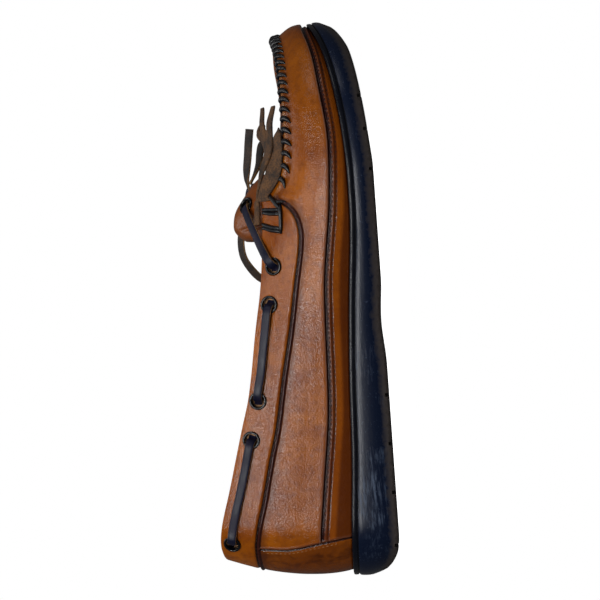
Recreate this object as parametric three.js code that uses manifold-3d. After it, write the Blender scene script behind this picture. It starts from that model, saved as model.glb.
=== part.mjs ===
// A boat shoe for the right foot, in its separate pieces: sole, insole, hollow upper,
// tongue, fringed kiltie flap, eyelets, leather lace and its bow.
// Millimetres. +X points to the toe, +Z up, the outer side of the foot is at -Y.
// Sections are given by x, the distance from the back of the heel.
import * as THREE from 'three';
import { mergeVertices } from 'three/addons/utils/BufferGeometryUtils.js';
import Module from 'manifold-3d';

const wasm = await Module();
wasm.setup();

// ---- driving dimensions -------------------------------------------------------------
const LENGTH = 298.6;          // sole, heel to toe
const WALL = 2.2;              // leather and lining of the upper
const FIT = 0.35;              // air between neighbouring pieces
const AROUND = 72;             // sections round the shoe
const HEEL_ROUND = { length: 34, power: 2.1 };
const TOE_ROUND = { length: 60.6, power: 2.6 };
const FEATHER_IN = -3.6;       // the upper meets the sole this far inside the sole's edge
const THROAT = { x: 200, depth: 24, rise: -5 };
const INSOLE = { thick: 3.5, inset: FEATHER_IN - WALL - 0.8 };
const SIPE = { width: 2, depth: 2.2, at: [19, 47.4, 72.7, 98, 213.6, 234.3, 251.7] };
const TONGUE_THICK = 2;
const KILTIE_THICK = 1.6;
const EYELET = { flange: 4.7, bore: 3.25, barrel: 3.6, lip: 0.8, segments: 10 };
const HOLE = EYELET.barrel + FIT;
const LACE = { width: 4.4, thick: 1.6 };

// Sole, by section: middle line and half breadth seen from above, height of the edge on
// which the upper stands, height of the tread.
const SOLE = [
  { x: 0, centre: 0, half: 34, top: 25.6, tread: 11 },
  { x: 3.5, tread: 7.6 },
  { x: 8.7, tread: 4 },
  { x: 16.6, tread: 0.8 },
  { x: 26, top: 24.5, tread: 0 },
  { x: 40, centre: 0, half: 35.6 },
  { x: 67, top: 21.6 },
  { x: 75, centre: -1.4, half: 36.2 },
  { x: 112, centre: -3, half: 37, top: 19.7, tread: 0 },
  { x: 136, tread: 1.4 },
  { x: 142, centre: -3.4, half: 38.6, top: 17.7 },
  { x: 160, tread: 0 },
  { x: 172, centre: -2.4, half: 43.2 },
  { x: 200, centre: -0.6, half: 48.8, top: 13.6 },
  { x: 212, top: 13.6, tread: 0 },
  { x: 222, centre: 0.6, half: 51 },
  { x: 234, top: 14.8, tread: 1.6 },
  { x: 246, centre: 2.2, half: 50.6 },
  { x: 252, top: 17, tread: 3.6 },
  { x: 277, centre: 5, half: 45.5, top: 22.1, tread: 8 },
  { x: 289, top: 26.5 },
  { x: 291, tread: 14.7 },
  { x: 298.6, centre: 6.5, half: 41, top: 31.6, tread: 21 },
];

// Sole side wall, from the tread to the top: outward step from the sole's outline and the
// height, as a share of the side's height plus millimetres.
const SOLE_WALL = [
  { out: -4.6, share: 0, up: 0 },
  { out: -1.9, share: 0, up: 1.2 },
  { out: -0.4, share: 0.18, up: 1 },
  { out: 0.1, share: 0.5, up: 0 },
  { out: -0.5, share: 1, up: -3.2 },
  { out: -1, share: 1, up: -2.9 },
  { out: -0.5, share: 1, up: -2.5 },
  { out: -0.6, share: 1, up: -0.4 },
  { out: -1.3, share: 1, up: 0 },
];

// Upper behind the throat: step from the sole's outline to the collar's edge, outward
// belly of the wall, and how far up the wall the collar panel begins.
const QUARTER = [
  { x: 0, collarIn: -13.2, belly: 2.2, panel: 0.55 },
  { x: 20, collarIn: -10 },
  { x: 50, collarIn: -7, belly: 2, panel: 0.6 },
  { x: 100, collarIn: -6.6, belly: 2.2, panel: 0.62 },
  { x: 135, collarIn: -8, belly: 2.6 },
  { x: 160, collarIn: -11, belly: 2.8, panel: 0.66 },
  { x: 182, collarIn: -16 },
  { x: 200, collarIn: -20.6, belly: 3, panel: 0.84 },
];

// Height of the collar's edge, by the edge's own x.
const TOPLINE = [
  { x: 13, z: 94.2 }, { x: 22, z: 95.2 }, { x: 31, z: 94 }, { x: 53, z: 87.7 },
  { x: 85, z: 78.7 }, { x: 101, z: 74 }, { x: 134, z: 68.2 }, { x: 162, z: 63.2 },
  { x: 198, z: 60 },
];

// Upper in front of the throat: the hand-sewn seam's step in from the sole's outline.
const SEAM_IN = [
  { x: 196, in: -16 }, { x: 215, in: -14 }, { x: 235, in: -12 },
  { x: 260, in: -10.6 }, { x: 285, in: -9.4 }, { x: 298.6, in: -8 },
];

// Height of that seam, by its own x, and of the plug's middle line.
const SEAM_Z = [
  { x: 196, z: 54.5 }, { x: 203, z: 52 }, { x: 208, z: 48.8 }, { x: 216, z: 45.6 },
  { x: 225, z: 44 }, { x: 242, z: 43.4 }, { x: 262, z: 44.2 }, { x: 274, z: 45.1 },
  { x: 283, z: 46.4 }, { x: 291, z: 48.6 },
];
const RIDGE_Z = [
  { x: 213, z: 61.3 }, { x: 220, z: 57 }, { x: 230, z: 52 }, { x: 240, z: 48.9 },
  { x: 250, z: 47.8 }, { x: 262, z: 48.4 }, { x: 275, z: 50.2 }, { x: 285, z: 50.6 },
  { x: 291, z: 48.8 },
];

// Tongue and kiltie flap along their middle: height, half width, drop of the two sides,
// and how far the sides sweep back.
const TONGUE = [
  { x: 234, z: 46.2, half: 13, drop: 1.6, back: 0 },
  { x: 228, z: 48.6, half: 11.6, drop: 2 },
  { x: 223.8, z: 50.4, half: 8.4, drop: 1.6 },
  { x: 220.8, z: 54.8, half: 7, drop: 1 },
  { x: 217, z: 61.2, half: 12.8, drop: 3.2 },
  { x: 212.4, z: 66.4, half: 16.4, drop: 7 },
  { x: 205.2, z: 72.2, half: 20.2, drop: 12.6 },
  { x: 197, z: 76.6, half: 22.2, drop: 17.4 },
  { x: 190.6, z: 77.4, half: 23, drop: 19 },
  { x: 186, z: 74.6, half: 23, drop: 17 },
  { x: 182.6, z: 70.4, half: 20, drop: 13, back: 0 },
];
const KILTIE = [
  { x: 222.4, z: 58.6, half: 26.4, drop: -4.2, back: 22 },
  { x: 226, z: 57.8, half: 28.2, drop: -3.6, back: 16.6 },
  { x: 230, z: 57.4, half: 31, drop: 0.8, back: 10.6 },
  { x: 235.4, z: 58.8, half: 33, drop: 6.6, back: 5.6 },
  { x: 242, z: 61, half: 32.8, drop: 9.6, back: 1 },
  { x: 251, z: 57.6, half: 30, drop: 8.4, back: 0 },
];

// Eyelets, seen from the side. The first is in the tongue, the rest in the collar.
const EYELETS = [
  { x: 201.7, z: 68.6 }, { x: 167.7, z: 54.9 }, { x: 148.7, z: 58.5 },
  { x: 99.4, z: 68.1 }, { x: 79.1, z: 73.1 }, { x: 24.4, z: 87.6 },
];
const SIDES = { outer: -1, inner: 1 };

// ---- small tools ----------------------------------------------------------------------
const mix = (a, b, t) => a + (b - a) * t;
const clamp01 = (t) => Math.min(1, Math.max(0, t));
const ease = (a, b, x) => {
  const t = clamp01((x - a) / (b - a));
  return t * t * (3 - 2 * t);
};
const vec = (x, y, z) => new THREE.Vector3(x, y, z);

// A curve through one column of a table that never overshoots between two rows.
function column(rows, key, by = 'x') {
  const at = rows.filter((row) => row[key] !== undefined);
  const x = at.map((row) => row[by]);
  const y = at.map((row) => row[key]);
  const rise = y.slice(1).map((value, i) => (value - y[i]) / (x[i + 1] - x[i]));
  const slope = y.map((_, i) => {
    if (i === 0 || i === y.length - 1) return rise[Math.min(i, rise.length - 1)];
    const [before, after] = [rise[i - 1], rise[i]];
    return before * after <= 0 ? 0 : (2 * before * after) / (before + after);
  });
  return (u) => {
    if (u <= x[0]) return y[0];
    if (u >= x[x.length - 1]) return y[y.length - 1];
    const i = x.findIndex((edge) => edge > u) - 1;
    const h = x[i + 1] - x[i];
    const t = (u - x[i]) / h;
    const s = 1 - t;
    return y[i] * s * s * (1 + 2 * t) + y[i + 1] * t * t * (3 - 2 * t)
      + h * t * s * (slope[i] * s - slope[i + 1] * t);
  };
}

const at = {
  centre: column(SOLE, 'centre'), half: column(SOLE, 'half'),
  top: column(SOLE, 'top'), tread: column(SOLE, 'tread'),
  collarIn: column(QUARTER, 'collarIn'), belly: column(QUARTER, 'belly'),
  panel: column(QUARTER, 'panel'), topline: column(TOPLINE, 'z'),
  seamIn: column(SEAM_IN, 'in'), seamZ: column(SEAM_Z, 'z'), ridge: column(RIDGE_Z, 'z'),
};

// ---- the last: outline from above and the upper's skin ---------------------------------
function halfBreadth(x) {
  const heel = clamp01(1 - x / HEEL_ROUND.length);
  const toe = clamp01(1 - (LENGTH - x) / TOE_ROUND.length);
  const heelEnd = (1 - heel ** HEEL_ROUND.power) ** (1 / HEEL_ROUND.power);
  const toeEnd = (1 - toe ** TOE_ROUND.power) ** (1 / TOE_ROUND.power);
  return at.half(x) * heelEnd * toeEnd;
}

// Turn 0 is the back of the heel, a quarter turn the outer side, a half turn the toe.
function outline(turn) {
  const angle = turn * 2 * Math.PI;
  const x = (LENGTH / 2) * (1 - Math.cos(angle));
  return vec(x, at.centre(x) - Math.sign(Math.sin(angle)) * halfBreadth(x), 0);
}

function outward(turn) {
  const step = 0.002;
  const along = outline(turn + step).sub(outline(turn - step));
  return vec(along.y, -along.x, 0).normalize();
}

function beside(turn, out, z) {
  const point = outline(turn).addScaledVector(outward(turn), out);
  point.z = z;
  return point;
}

const featherZ = (turn) => at.top(beside(turn, FEATHER_IN, 0).x) + FIT;

// A leather wall from the feather edge up to an edge that lies further in.
function wallPoint(turn, t, edgeIn, edgeZ, lean) {
  const belly = at.belly(outline(turn).x) * Math.sin(Math.PI * t ** 0.7);
  const out = mix(FEATHER_IN, edgeIn, t ** lean) + belly;
  return beside(turn, out, mix(featherZ(turn), edgeZ, t));
}

function quarterPoint(turn, v) {
  const x = outline(turn).x;
  const edge = beside(turn, at.collarIn(x), 0);
  const panel = at.panel(x);
  const t = v < 0.5 ? 2 * v * panel : mix(panel, 1, 2 * v - 1);
  return wallPoint(turn, t, at.collarIn(x), at.topline(edge.x), 2.3);
}

const THROAT_TURN = Math.acos(1 - (2 * THROAT.x) / LENGTH) / (2 * Math.PI);

// The edge of the plug across the instep, from one throat corner to the other.
function throatPoint(turn) {
  const outer = turn <= 0.5;
  const from = outer ? THROAT_TURN : 1 - THROAT_TURN;
  const share = clamp01((turn - from) / (0.5 - from));
  const corner = quarterPoint(from, 1);
  const middle = vec(THROAT.x + THROAT.depth, at.centre(THROAT.x) + 1, 0);
  const bend = 1 - (1 - share) ** 2;
  const point = vec(mix(corner.x, middle.x, bend), mix(corner.y, middle.y, share), 0);
  point.z = mix(corner.z, corner.z + THROAT.rise, bend);
  return point;
}

function vampPoint(turn, v) {
  const x = outline(turn).x;
  const seam = beside(turn, at.seamIn(x), 0);
  seam.z = at.seamZ(seam.x);
  if (v <= 0.5) return wallPoint(turn, 2 * v, at.seamIn(x), seam.z, 3);
  const s = 2 * v - 1;
  const edge = throatPoint(turn);
  const point = seam.clone().lerp(edge, s);
  const below = mix(at.ridge(seam.x) - seam.z, at.ridge(edge.x) - edge.z, 1 - (1 - s) ** 2);
  point.z = at.ridge(point.x) - below;
  return point;
}

// The outer skin: v runs from the feather edge (0) to the collar or throat edge (1).
function skin(turn, v) {
  const front = ease(193, 209, outline(turn).x);
  if (front === 0) return quarterPoint(turn, v);
  if (front === 1) return vampPoint(turn, v);
  return quarterPoint(turn, v).lerp(vampPoint(turn, v), front);
}

function skinNormal(turn, v) {
  const step = 0.004;
  const low = Math.max(0, v - step);
  const high = Math.min(1, v + step);
  const around = skin(turn + step, v).sub(skin(turn - step, v));
  const up = skin(turn, high).sub(skin(turn, low));
  return around.cross(up).normalize();
}

// ---- building solids --------------------------------------------------------------------
function solid(points, triangles) {
  const geometry = new THREE.BufferGeometry();
  const numbers = points.flatMap((p) => [p.x, p.y, p.z]);
  geometry.setAttribute('position', new THREE.Float32BufferAttribute(numbers, 3));
  geometry.setIndex(triangles.flat());
  return geometry;
}

const quad = (a, b, c, d) => [[a, b, c], [a, c, d]];

// A closed stack of rings with as many points each, bridged across at both ends from the
// outer side to the inner side.
function stack(rings) {
  const count = rings[0].length;
  const faces = [];
  for (let r = 0; r + 1 < rings.length; r += 1) {
    for (let i = 0; i < count; i += 1) {
      const j = (i + 1) % count;
      const [low, high] = [r * count, (r + 1) * count];
      faces.push(...quad(low + i, low + j, high + j, high + i));
    }
  }
  const lid = (rings.length - 1) * count;
  for (let i = 0; i < count / 2; i += 1) {
    const across = (k) => (count - k) % count;
    const floor = [i, i + 1, across(i + 1), across(i)];
    const sides = [...new Set(floor)];
    for (let k = 1; k + 1 < sides.length; k += 1) {
      faces.push([sides[0], sides[k + 1], sides[k]]);
      faces.push([lid + sides[0], lid + sides[k], lid + sides[k + 1]]);
    }
  }
  return solid(rings.flat(), faces);
}

// A sheet of leather: a grid of outer points and the same grid moved in by its thickness.
function sheet(outer, inner, closed) {
  const rows = outer.length;
  const columns = outer[0].length;
  const lay = (r, c) => r * columns + (c % columns);
  const back = rows * columns;
  const faces = [];
  const last = closed ? columns : columns - 1;
  for (let r = 0; r + 1 < rows; r += 1) {
    for (let c = 0; c < last; c += 1) {
      const square = [lay(r, c), lay(r, c + 1), lay(r + 1, c + 1), lay(r + 1, c)];
      faces.push(...quad(...square));
      faces.push(...quad(...square.reverse().map((k) => k + back)));
    }
  }
  for (let c = 0; c < last; c += 1) {
    const [a, b] = [lay(0, c), lay(0, c + 1)];
    faces.push(...quad(b, a, a + back, b + back));
    const [d, e] = [lay(rows - 1, c), lay(rows - 1, c + 1)];
    faces.push(...quad(d, e, e + back, d + back));
  }
  for (let r = 0; r + 1 < rows && !closed; r += 1) {
    const [a, b] = [lay(r, 0), lay(r + 1, 0)];
    faces.push(...quad(a, b, b + back, a + back));
    const [d, e] = [lay(r, columns - 1), lay(r + 1, columns - 1)];
    faces.push(...quad(e, d, d + back, e + back));
  }
  return solid([...outer.flat(), ...inner.flat()], faces);
}

// A flat lace along a route; each stop has a place, a direction that its face looks to,
// and the section stays square to the route.
function strap(stops, width = LACE.width, thick = LACE.thick) {
  const rings = stops.map((stop, i) => {
    const before = stops[Math.max(0, i - 1)].place;
    const after = stops[Math.min(stops.length - 1, i + 1)].place;
    const along = after.clone().sub(before).normalize();
    const across = along.clone().cross(stop.face).normalize();
    const up = across.clone().cross(along).normalize();
    return [[-1, -1], [1, -1], [1, 1], [-1, 1]].map(([w, t]) => stop.place.clone()
      .addScaledVector(across, (w * width) / 2).addScaledVector(up, (t * thick) / 2));
  });
  const faces = [];
  for (let r = 0; r + 1 < rings.length; r += 1) {
    for (let c = 0; c < 4; c += 1) {
      const d = (c + 1) % 4;
      faces.push(...quad(4 * r + c, 4 * r + 4 + c, 4 * r + 4 + d, 4 * r + d));
    }
  }
  const end = 4 * (rings.length - 1);
  faces.push(...quad(0, 1, 2, 3), ...quad(end + 3, end + 2, end + 1, end));
  return solid(rings.flat(), faces);
}

function toManifold(geometry) {
  const bare = geometry.clone();
  bare.deleteAttribute('normal');
  bare.deleteAttribute('uv');
  const merged = mergeVertices(bare, 1e-4);
  const vertProperties = new Float32Array(merged.attributes.position.array);
  const triVerts = new Uint32Array(merged.index.array);
  const made = new wasm.Manifold(new wasm.Mesh({ numProp: 3, vertProperties, triVerts }));
  return made;
}

function fromManifold(made) {
  const mesh = made.getMesh();
  const geometry = new THREE.BufferGeometry();
  geometry.setAttribute('position', new THREE.BufferAttribute(mesh.vertProperties, 3));
  geometry.setIndex(new THREE.BufferAttribute(mesh.triVerts, 1));
  return geometry;
}

function cut(geometry, cutters) {
  const whole = cutters.reduce((body, tool) => body.subtract(toManifold(tool)),
    toManifold(geometry));
  return fromManifold(whole);
}

// Stands a shape made along +Z on a place of a skin, along that skin's normal.
function standOn(geometry, spot) {
  const turn = new THREE.Quaternion().setFromUnitVectors(vec(0, 0, 1), spot.normal);
  geometry.applyQuaternion(turn);
  geometry.translate(spot.place.x, spot.place.y, spot.place.z);
  return geometry;
}

const turns = [...Array(AROUND).keys()].map((i) => i / AROUND);

// ---- sole and insole ----------------------------------------------------------------------
function soleGeometry() {
  const rings = SOLE_WALL.map(({ out, share, up }) => turns.map((turn) => {
    const point = beside(turn, out, 0);
    const [high, low] = [at.top(point.x), at.tread(point.x)];
    point.z = share === 1 ? high + up : mix(low, high, share) + up;
    return point;
  }));
  const grooves = SIPE.at.map((x) => {
    const box = new THREE.BoxGeometry(SIPE.width, 140, 2 * SIPE.depth);
    box.translate(x, 0, at.tread(x));
    return box;
  });
  return cut(stack(rings), grooves);
}

function insoleGeometry() {
  const ring = (up) => turns.map((turn) => {
    const point = beside(turn, INSOLE.inset, 0);
    point.z = at.top(point.x) + up;
    return point;
  });
  return stack([ring(FIT + 0.2), ring(FIT + INSOLE.thick)]);
}

// ---- upper ------------------------------------------------------------------------------------
const LEVELS = [0, 0.08, 0.17, 0.26, 0.35, 0.43, 0.5, 0.57, 0.66, 0.76, 0.87, 0.95, 1];

function upperGeometry(holes) {
  const outer = LEVELS.map((v) => turns.map((turn) => skin(turn, v)));
  const inner = LEVELS.map((v) => turns.map((turn) => {
    const normal = v === 0 ? outward(turn) : skinNormal(turn, v);
    return skin(turn, v).addScaledVector(normal, -WALL);
  }));
  return cut(sheet(outer, inner, true), holes);
}

// The place on the outer skin that has this x and z on one side.
function onSkin(side, x, z) {
  let best = { turn: 0.25, v: 0.7 };
  let [spanTurn, spanV] = [0.23, 0.3];
  for (let pass = 0; pass < 9; pass += 1) {
    const around = best;
    let least = Infinity;
    for (let i = -4; i <= 4; i += 1) {
      for (let j = -4; j <= 4; j += 1) {
        const turn = around.turn + (i / 4) * spanTurn;
        const v = clamp01(around.v + (j / 4) * spanV);
        const point = skin(side < 0 ? turn : 1 - turn, v);
        const off = Math.hypot(point.x - x, point.z - z);
        if (off < least) [least, best] = [off, { turn, v }];
      }
    }
    [spanTurn, spanV] = [spanTurn * 0.42, spanV * 0.42];
  }
  const turn = side < 0 ? best.turn : 1 - best.turn;
  return { turn, v: best.v, place: skin(turn, best.v), normal: skinNormal(turn, best.v) };
}

// ---- tongue and kiltie ----------------------------------------------------------------------
const LENGTHWISE = 14;
const CROSSWISE = 10;

// A leather arch: s runs along its middle line, q from its outer to its inner edge.
function archPoint(rows, s, q) {
  const named = rows.map((row, i) => ({ ...row, s: i / (rows.length - 1) }));
  const read = (key) => column(named, key, 's')(s);
  const bow = Math.abs(q) ** 2.3;
  const x = read('x') - read('back') * Math.abs(q) ** 3;
  return vec(x, at.centre(THROAT.x) + q * read('half'), read('z') - read('drop') * bow);
}

function archNormal(rows, s, q) {
  const step = 0.01;
  const along = archPoint(rows, Math.min(1, s + step), q)
    .sub(archPoint(rows, Math.max(0, s - step), q));
  const across = archPoint(rows, s, q + step).sub(archPoint(rows, s, q - step));
  const normal = along.cross(across).normalize();
  return rows[0].x > rows[rows.length - 1].x ? normal.negate() : normal;
}

function archGeometry(rows, thick, holes) {
  const grid = (depth) => [...Array(LENGTHWISE + 1).keys()].map((i) => (
    [...Array(CROSSWISE + 1).keys()].map((j) => {
      const [s, q] = [i / LENGTHWISE, (2 * j) / CROSSWISE - 1];
      return archPoint(rows, s, q).addScaledVector(archNormal(rows, s, q), -depth);
    })));
  const [outer, inner] = [grid(0), grid(thick)];
  const forward = rows[0].x < rows[rows.length - 1].x;
  const laid = forward ? [outer.reverse(), inner.reverse()] : [outer, inner];
  const shape = sheet(...laid, false);
  return holes.length ? cut(shape, holes) : shape;
}

function onTongue(side, x, z) {
  let best = null;
  for (let i = 0; i <= 120; i += 1) {
    for (let j = 0; j <= 60; j += 1) {
      const [s, q] = [i / 120, (side * j) / 60];
      const place = archPoint(TONGUE, s, q);
      const off = Math.hypot(place.x - x, place.z - z);
      if (!best || off < best.off) best = { off, s, q, place };
    }
  }
  best.normal = archNormal(TONGUE, best.s, best.q);
  return best;
}

// ---- eyelets -----------------------------------------------------------------------------------
function eyeletGeometry(spot, wall) {
  const { flange, bore, barrel, lip } = EYELET;
  const rest = FIT + 0.25;
  const section = [[bore, -wall - 0.6], [barrel, -wall - 0.6], [barrel, rest],
    [flange, rest], [flange - 0.5, rest + lip], [bore + 0.3, rest + lip], [bore, rest + 0.3]];
  const loop = [...section, section[0]].map(([r, z]) => new THREE.Vector2(r, z));
  const ring = new THREE.LatheGeometry(loop, EYELET.segments);
  ring.rotateX(Math.PI / 2);
  return standOn(ring, spot);
}

function holeGeometry(spot) {
  const rod = new THREE.CylinderGeometry(HOLE, HOLE, 12, EYELET.segments);
  rod.rotateX(Math.PI / 2);
  return standOn(rod, spot);
}

// ---- lace --------------------------------------------------------------------------------------
const OVER = FIT + 0.25 + EYELET.lip + LACE.thick / 2 + 0.5;    // above an eyelet
const ALONG = 0.7 + LACE.thick / 2;                             // above the leather
const UNDER = -(WALL + 0.6 + LACE.thick / 2 + 0.9);             // behind the wall

const lift = (spot, height) => ({
  place: spot.place.clone().addScaledVector(spot.normal, height), face: spot.normal,
});

// Stops on the skin between two eyelets, raised by a height.
function between(a, b, shares, height) {
  return shares.map((t) => {
    const [turn, v] = [mix(a.turn, b.turn, t), mix(a.v, b.v, t)];
    return lift({ place: skin(turn, v), normal: skinNormal(turn, v) }, height);
  });
}

// Through an eyelet's bore, coming from one stop outside and leaving for one inside. The
// lace's face turns over the rim of the bore and back again behind the wall.
function through(spot, outside, inside) {
  const level = (to) => {
    const way = to.clone().sub(spot.place);
    return way.addScaledVector(spot.normal, -way.dot(spot.normal)).normalize();
  };
  const stop = (height, way, by, up, turned) => ({
    place: lift(spot, height).place.addScaledVector(way, by),
    face: spot.normal.clone().multiplyScalar(up).addScaledVector(level(outside), -turned),
  });
  const [from, to] = [level(outside), level(inside)];
  return [
    stop(OVER, from, 3.2, 1, 0), stop(1.3, from, 0.5, 0.6, 1), stop(-0.6, from, 0, 0, 1),
    stop(-WALL - 0.8, to, 0.1, 0.4, 1), stop(UNDER, to, 2.4, 1, 0),
  ];
}

function laceStops(side, spots) {
  const [tab, first, second, third, fourth, last] = spots;
  const reach = first.place.clone().lerp(tab.place, 0.5);
  reach.addScaledVector(first.normal, 6);
  const heel = onSkin(side, last.place.x - 9, last.place.z + 0.4);
  const outwards = (spot, inside, outside) => through(spot, outside, inside).reverse();
  const tabIn = through(tab, first.place, tab.place.clone().add(vec(6, 0, 0)));
  return [
    ...tabIn.slice(0, 3).reverse(),
    { place: reach, face: tab.normal.clone().add(first.normal).normalize() },
    ...through(first, tab.place, second.place),
    ...between(first, second, [0.4, 0.6], UNDER),
    ...outwards(second, first.place, third.place),
    ...between(second, third, [0.25, 0.5, 0.75], ALONG),
    ...through(third, second.place, fourth.place),
    ...between(third, fourth, [0.4, 0.6], UNDER),
    ...outwards(fourth, third.place, last.place),
    ...between(fourth, last, [0.2, 0.4, 0.6, 0.8], ALONG),
    ...through(last, fourth.place, heel.place),
  ];
}

// Both sides and the run round the back of the heel, behind the collar.
function laceGeometry(spots) {
  const outer = laceStops(SIDES.outer, spots.outer);
  const inner = laceStops(SIDES.inner, spots.inner);
  const [a, b] = [spots.outer[5], spots.inner[5]];
  const shares = [0.14, 0.28, 0.42, 0.5, 0.58, 0.72, 0.86];
  const heelRun = shares.map((t) => {
    const turn = mix(a.turn, b.turn - 1, t);
    const v = mix(a.v, b.v, t);
    const full = (turn + 1) % 1;
    return lift({ place: skin(full, v), normal: skinNormal(full, v) }, UNDER);
  });
  return strap([...outer, ...heelRun, ...inner.reverse()]);
}

// ---- bow ----------------------------------------------------------------------------------------
const KNOT = { place: vec(210.6, 21.8, 67.4), size: vec(5.6, 5, 2.7) };

// Each part of the bow as a free lace: its stops by x, y, z and the way its face looks.
const BOW = {
  bow_loop_back: [
    [204.8, 22.6, 70.4, 0, -0.1, 1], [198.6, 25, 73, 0, -0.5, 0.9],
    [191, 26.4, 75.6, 0, -0.8, 0.6], [183.6, 28.4, 76.8, 0, -0.9, 0.5],
    [176, 30, 76, -0.1, -0.9, 0.5], [169, 33, 72.4, -0.3, -0.9, 0.3],
    [163.6, 36.4, 67.6, -0.5, -0.9, 0.1], [161.4, 39.6, 62, -0.5, -0.9, -0.1],
    [164.6, 41.6, 57, -0.2, -0.9, -0.4], [170.6, 40.4, 57, 0.2, -0.9, -0.5],
    [176.4, 36.4, 61, 0.2, -0.9, -0.5], [182, 32, 65.4, 0.2, -0.8, -0.6],
    [188.4, 28.4, 68, 0.1, -0.6, -0.8], [195.4, 26.2, 68.2, 0, -0.4, -1],
    [202.8, 24.6, 67, 0, -0.2, -1],
  ],
  bow_loop_front: [
    [216.8, 21.8, 68.4, 0, -0.2, 1], [221.4, 24, 66, 0, -0.5, 0.9],
    [227.6, 27.4, 63.6, 0.1, -0.8, 0.6], [234, 31, 62.8, 0.2, -0.9, 0.4],
    [239.6, 35, 61.4, 0.5, -0.8, 0.3], [241.6, 38.8, 57.2, 0.6, -0.8, -0.1],
    [238, 41.4, 52.8, 0.2, -0.8, -0.6], [231, 41, 51.4, -0.2, -0.7, -0.7],
    [224, 37.8, 54.6, -0.3, -0.6, -0.8], [218.4, 32.6, 59.6, -0.4, -0.4, -0.9],
    [215.6, 27.2, 64.6, -0.5, -0.2, -0.8],
  ],
  bow_end_front: [
    [213.6, 16.2, 69.4, 0, -0.2, 1], [218, 12.6, 69.8, 0, -0.6, 0.9], [223.6, 9.2, 69, 0, -1, 0.6],
    [230, 7, 67.8, 0, -1, 0.4], [237, 5.6, 66.8, 0, -1, 0.3], [244.7, 5, 65.6, 0, -1, 0.3],
  ],
  bow_end_back: [
    [206, 27.8, 64.8, 0, 0.5, 1], [200.4, 29.6, 64.2, 0, 0.6, 1], [194, 31.4, 62.8, 0, 0.8, 0.9],
    [188, 34.2, 60.2, 0, 0.9, 0.6], [182.6, 37.6, 56.4, -0.1, 1, 0.4], [178.4, 41, 51.4, -0.2, 1, 0.3],
    [175.4, 43.6, 46, -0.2, 1, 0.2],
  ],
};

function bowGeometry(stops) {
  const route = new THREE.CatmullRomCurve3(stops.map(([x, y, z]) => vec(x, y, z)));
  const looks = new THREE.CatmullRomCurve3(stops.map((stop) => vec(...stop.slice(3))));
  const steps = Math.round(route.getLength() / 5);
  return strap([...Array(steps + 1).keys()].map((i) => ({
    place: route.getPoint(i / steps), face: looks.getPoint(i / steps),
  })));
}

// ---- materials and assembly ----------------------------------------------------------------------
const finish = (color, roughness, metalness = 0) => (
  new THREE.MeshStandardMaterial({ color, roughness, metalness }));
const LEATHER = finish('#8a4a26', 0.4);
const SUEDE = finish('#5a3c28', 0.9);
const RUBBER = finish('#141d2c', 0.45);
const LINING = finish('#9a7350', 0.7);
const LACE_LEATHER = finish('#23242f', 0.55);
const BLACK_METAL = finish('#101114', 0.2, 1);

const shoe = new THREE.Group();
const body = new THREE.Group();
shoe.add(body);
const names = [];

function add(name, geometry, material) {
  const mesh = new THREE.Mesh(geometry, material);
  mesh.name = name;
  body.add(mesh);
  names.push(name);
}

const spots = {};
for (const [name, side] of Object.entries(SIDES)) {
  const [tab, ...collar] = EYELETS;
  spots[name] = [onTongue(side, tab.x, tab.z), ...collar.map(({ x, z }) => onSkin(side, x, z))];
}
const collarSpots = [...spots.outer.slice(1), ...spots.inner.slice(1)];
const tongueSpots = [spots.outer[0], spots.inner[0]];

add('sole', soleGeometry(), RUBBER);
add('insole', insoleGeometry(), LINING);
add('upper', upperGeometry(collarSpots.map(holeGeometry)), LEATHER);
add('tongue', archGeometry(TONGUE, TONGUE_THICK, tongueSpots.map(holeGeometry)), LEATHER);
add('kiltie', archGeometry(KILTIE, KILTIE_THICK, []), SUEDE);
for (const [name, places] of Object.entries(spots)) {
  places.forEach((spot, i) => {
    const wall = i === 0 ? TONGUE_THICK : WALL;
    add(`eyelet_${name}_${i + 1}`, eyeletGeometry(spot, wall), BLACK_METAL);
  });
}
add('lace', laceGeometry(spots), LACE_LEATHER);
for (const [name, stops] of Object.entries(BOW)) add(name, bowGeometry(stops), LACE_LEATHER);
const knot = new THREE.SphereGeometry(1, 12, 8);
knot.scale(KNOT.size.x, KNOT.size.y, KNOT.size.z);
knot.translate(KNOT.place.x, KNOT.place.y, KNOT.place.z);
add('bow_knot', knot, LACE_LEATHER);

// The origin is under the middle of the shoe's outer box, on the ground.
const firm = new THREE.Box3();
for (const mesh of body.children) {
  if (!mesh.name.startsWith('bow_')) firm.expandByObject(mesh);
}
const middle = firm.getCenter(vec(0, 0, 0));
body.position.set(-middle.x, -middle.y, -firm.min.z);

export default shoe;
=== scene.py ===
# %% [markdown]
# # A leather boat shoe
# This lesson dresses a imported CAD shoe: the CAD gives sizes and places, and Blender gives
# the leather, the rubber, the seams and the lace. Lengths are worked in millimetres from
# the back of the heel, because that is how a shoe is measured, and turned to metres in the
# row's frame only when a mesh is made.

# %% Load the frame
import math

import bmesh
import bpy
import numpy as np
from mathutils import Matrix, Vector, kdtree


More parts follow.
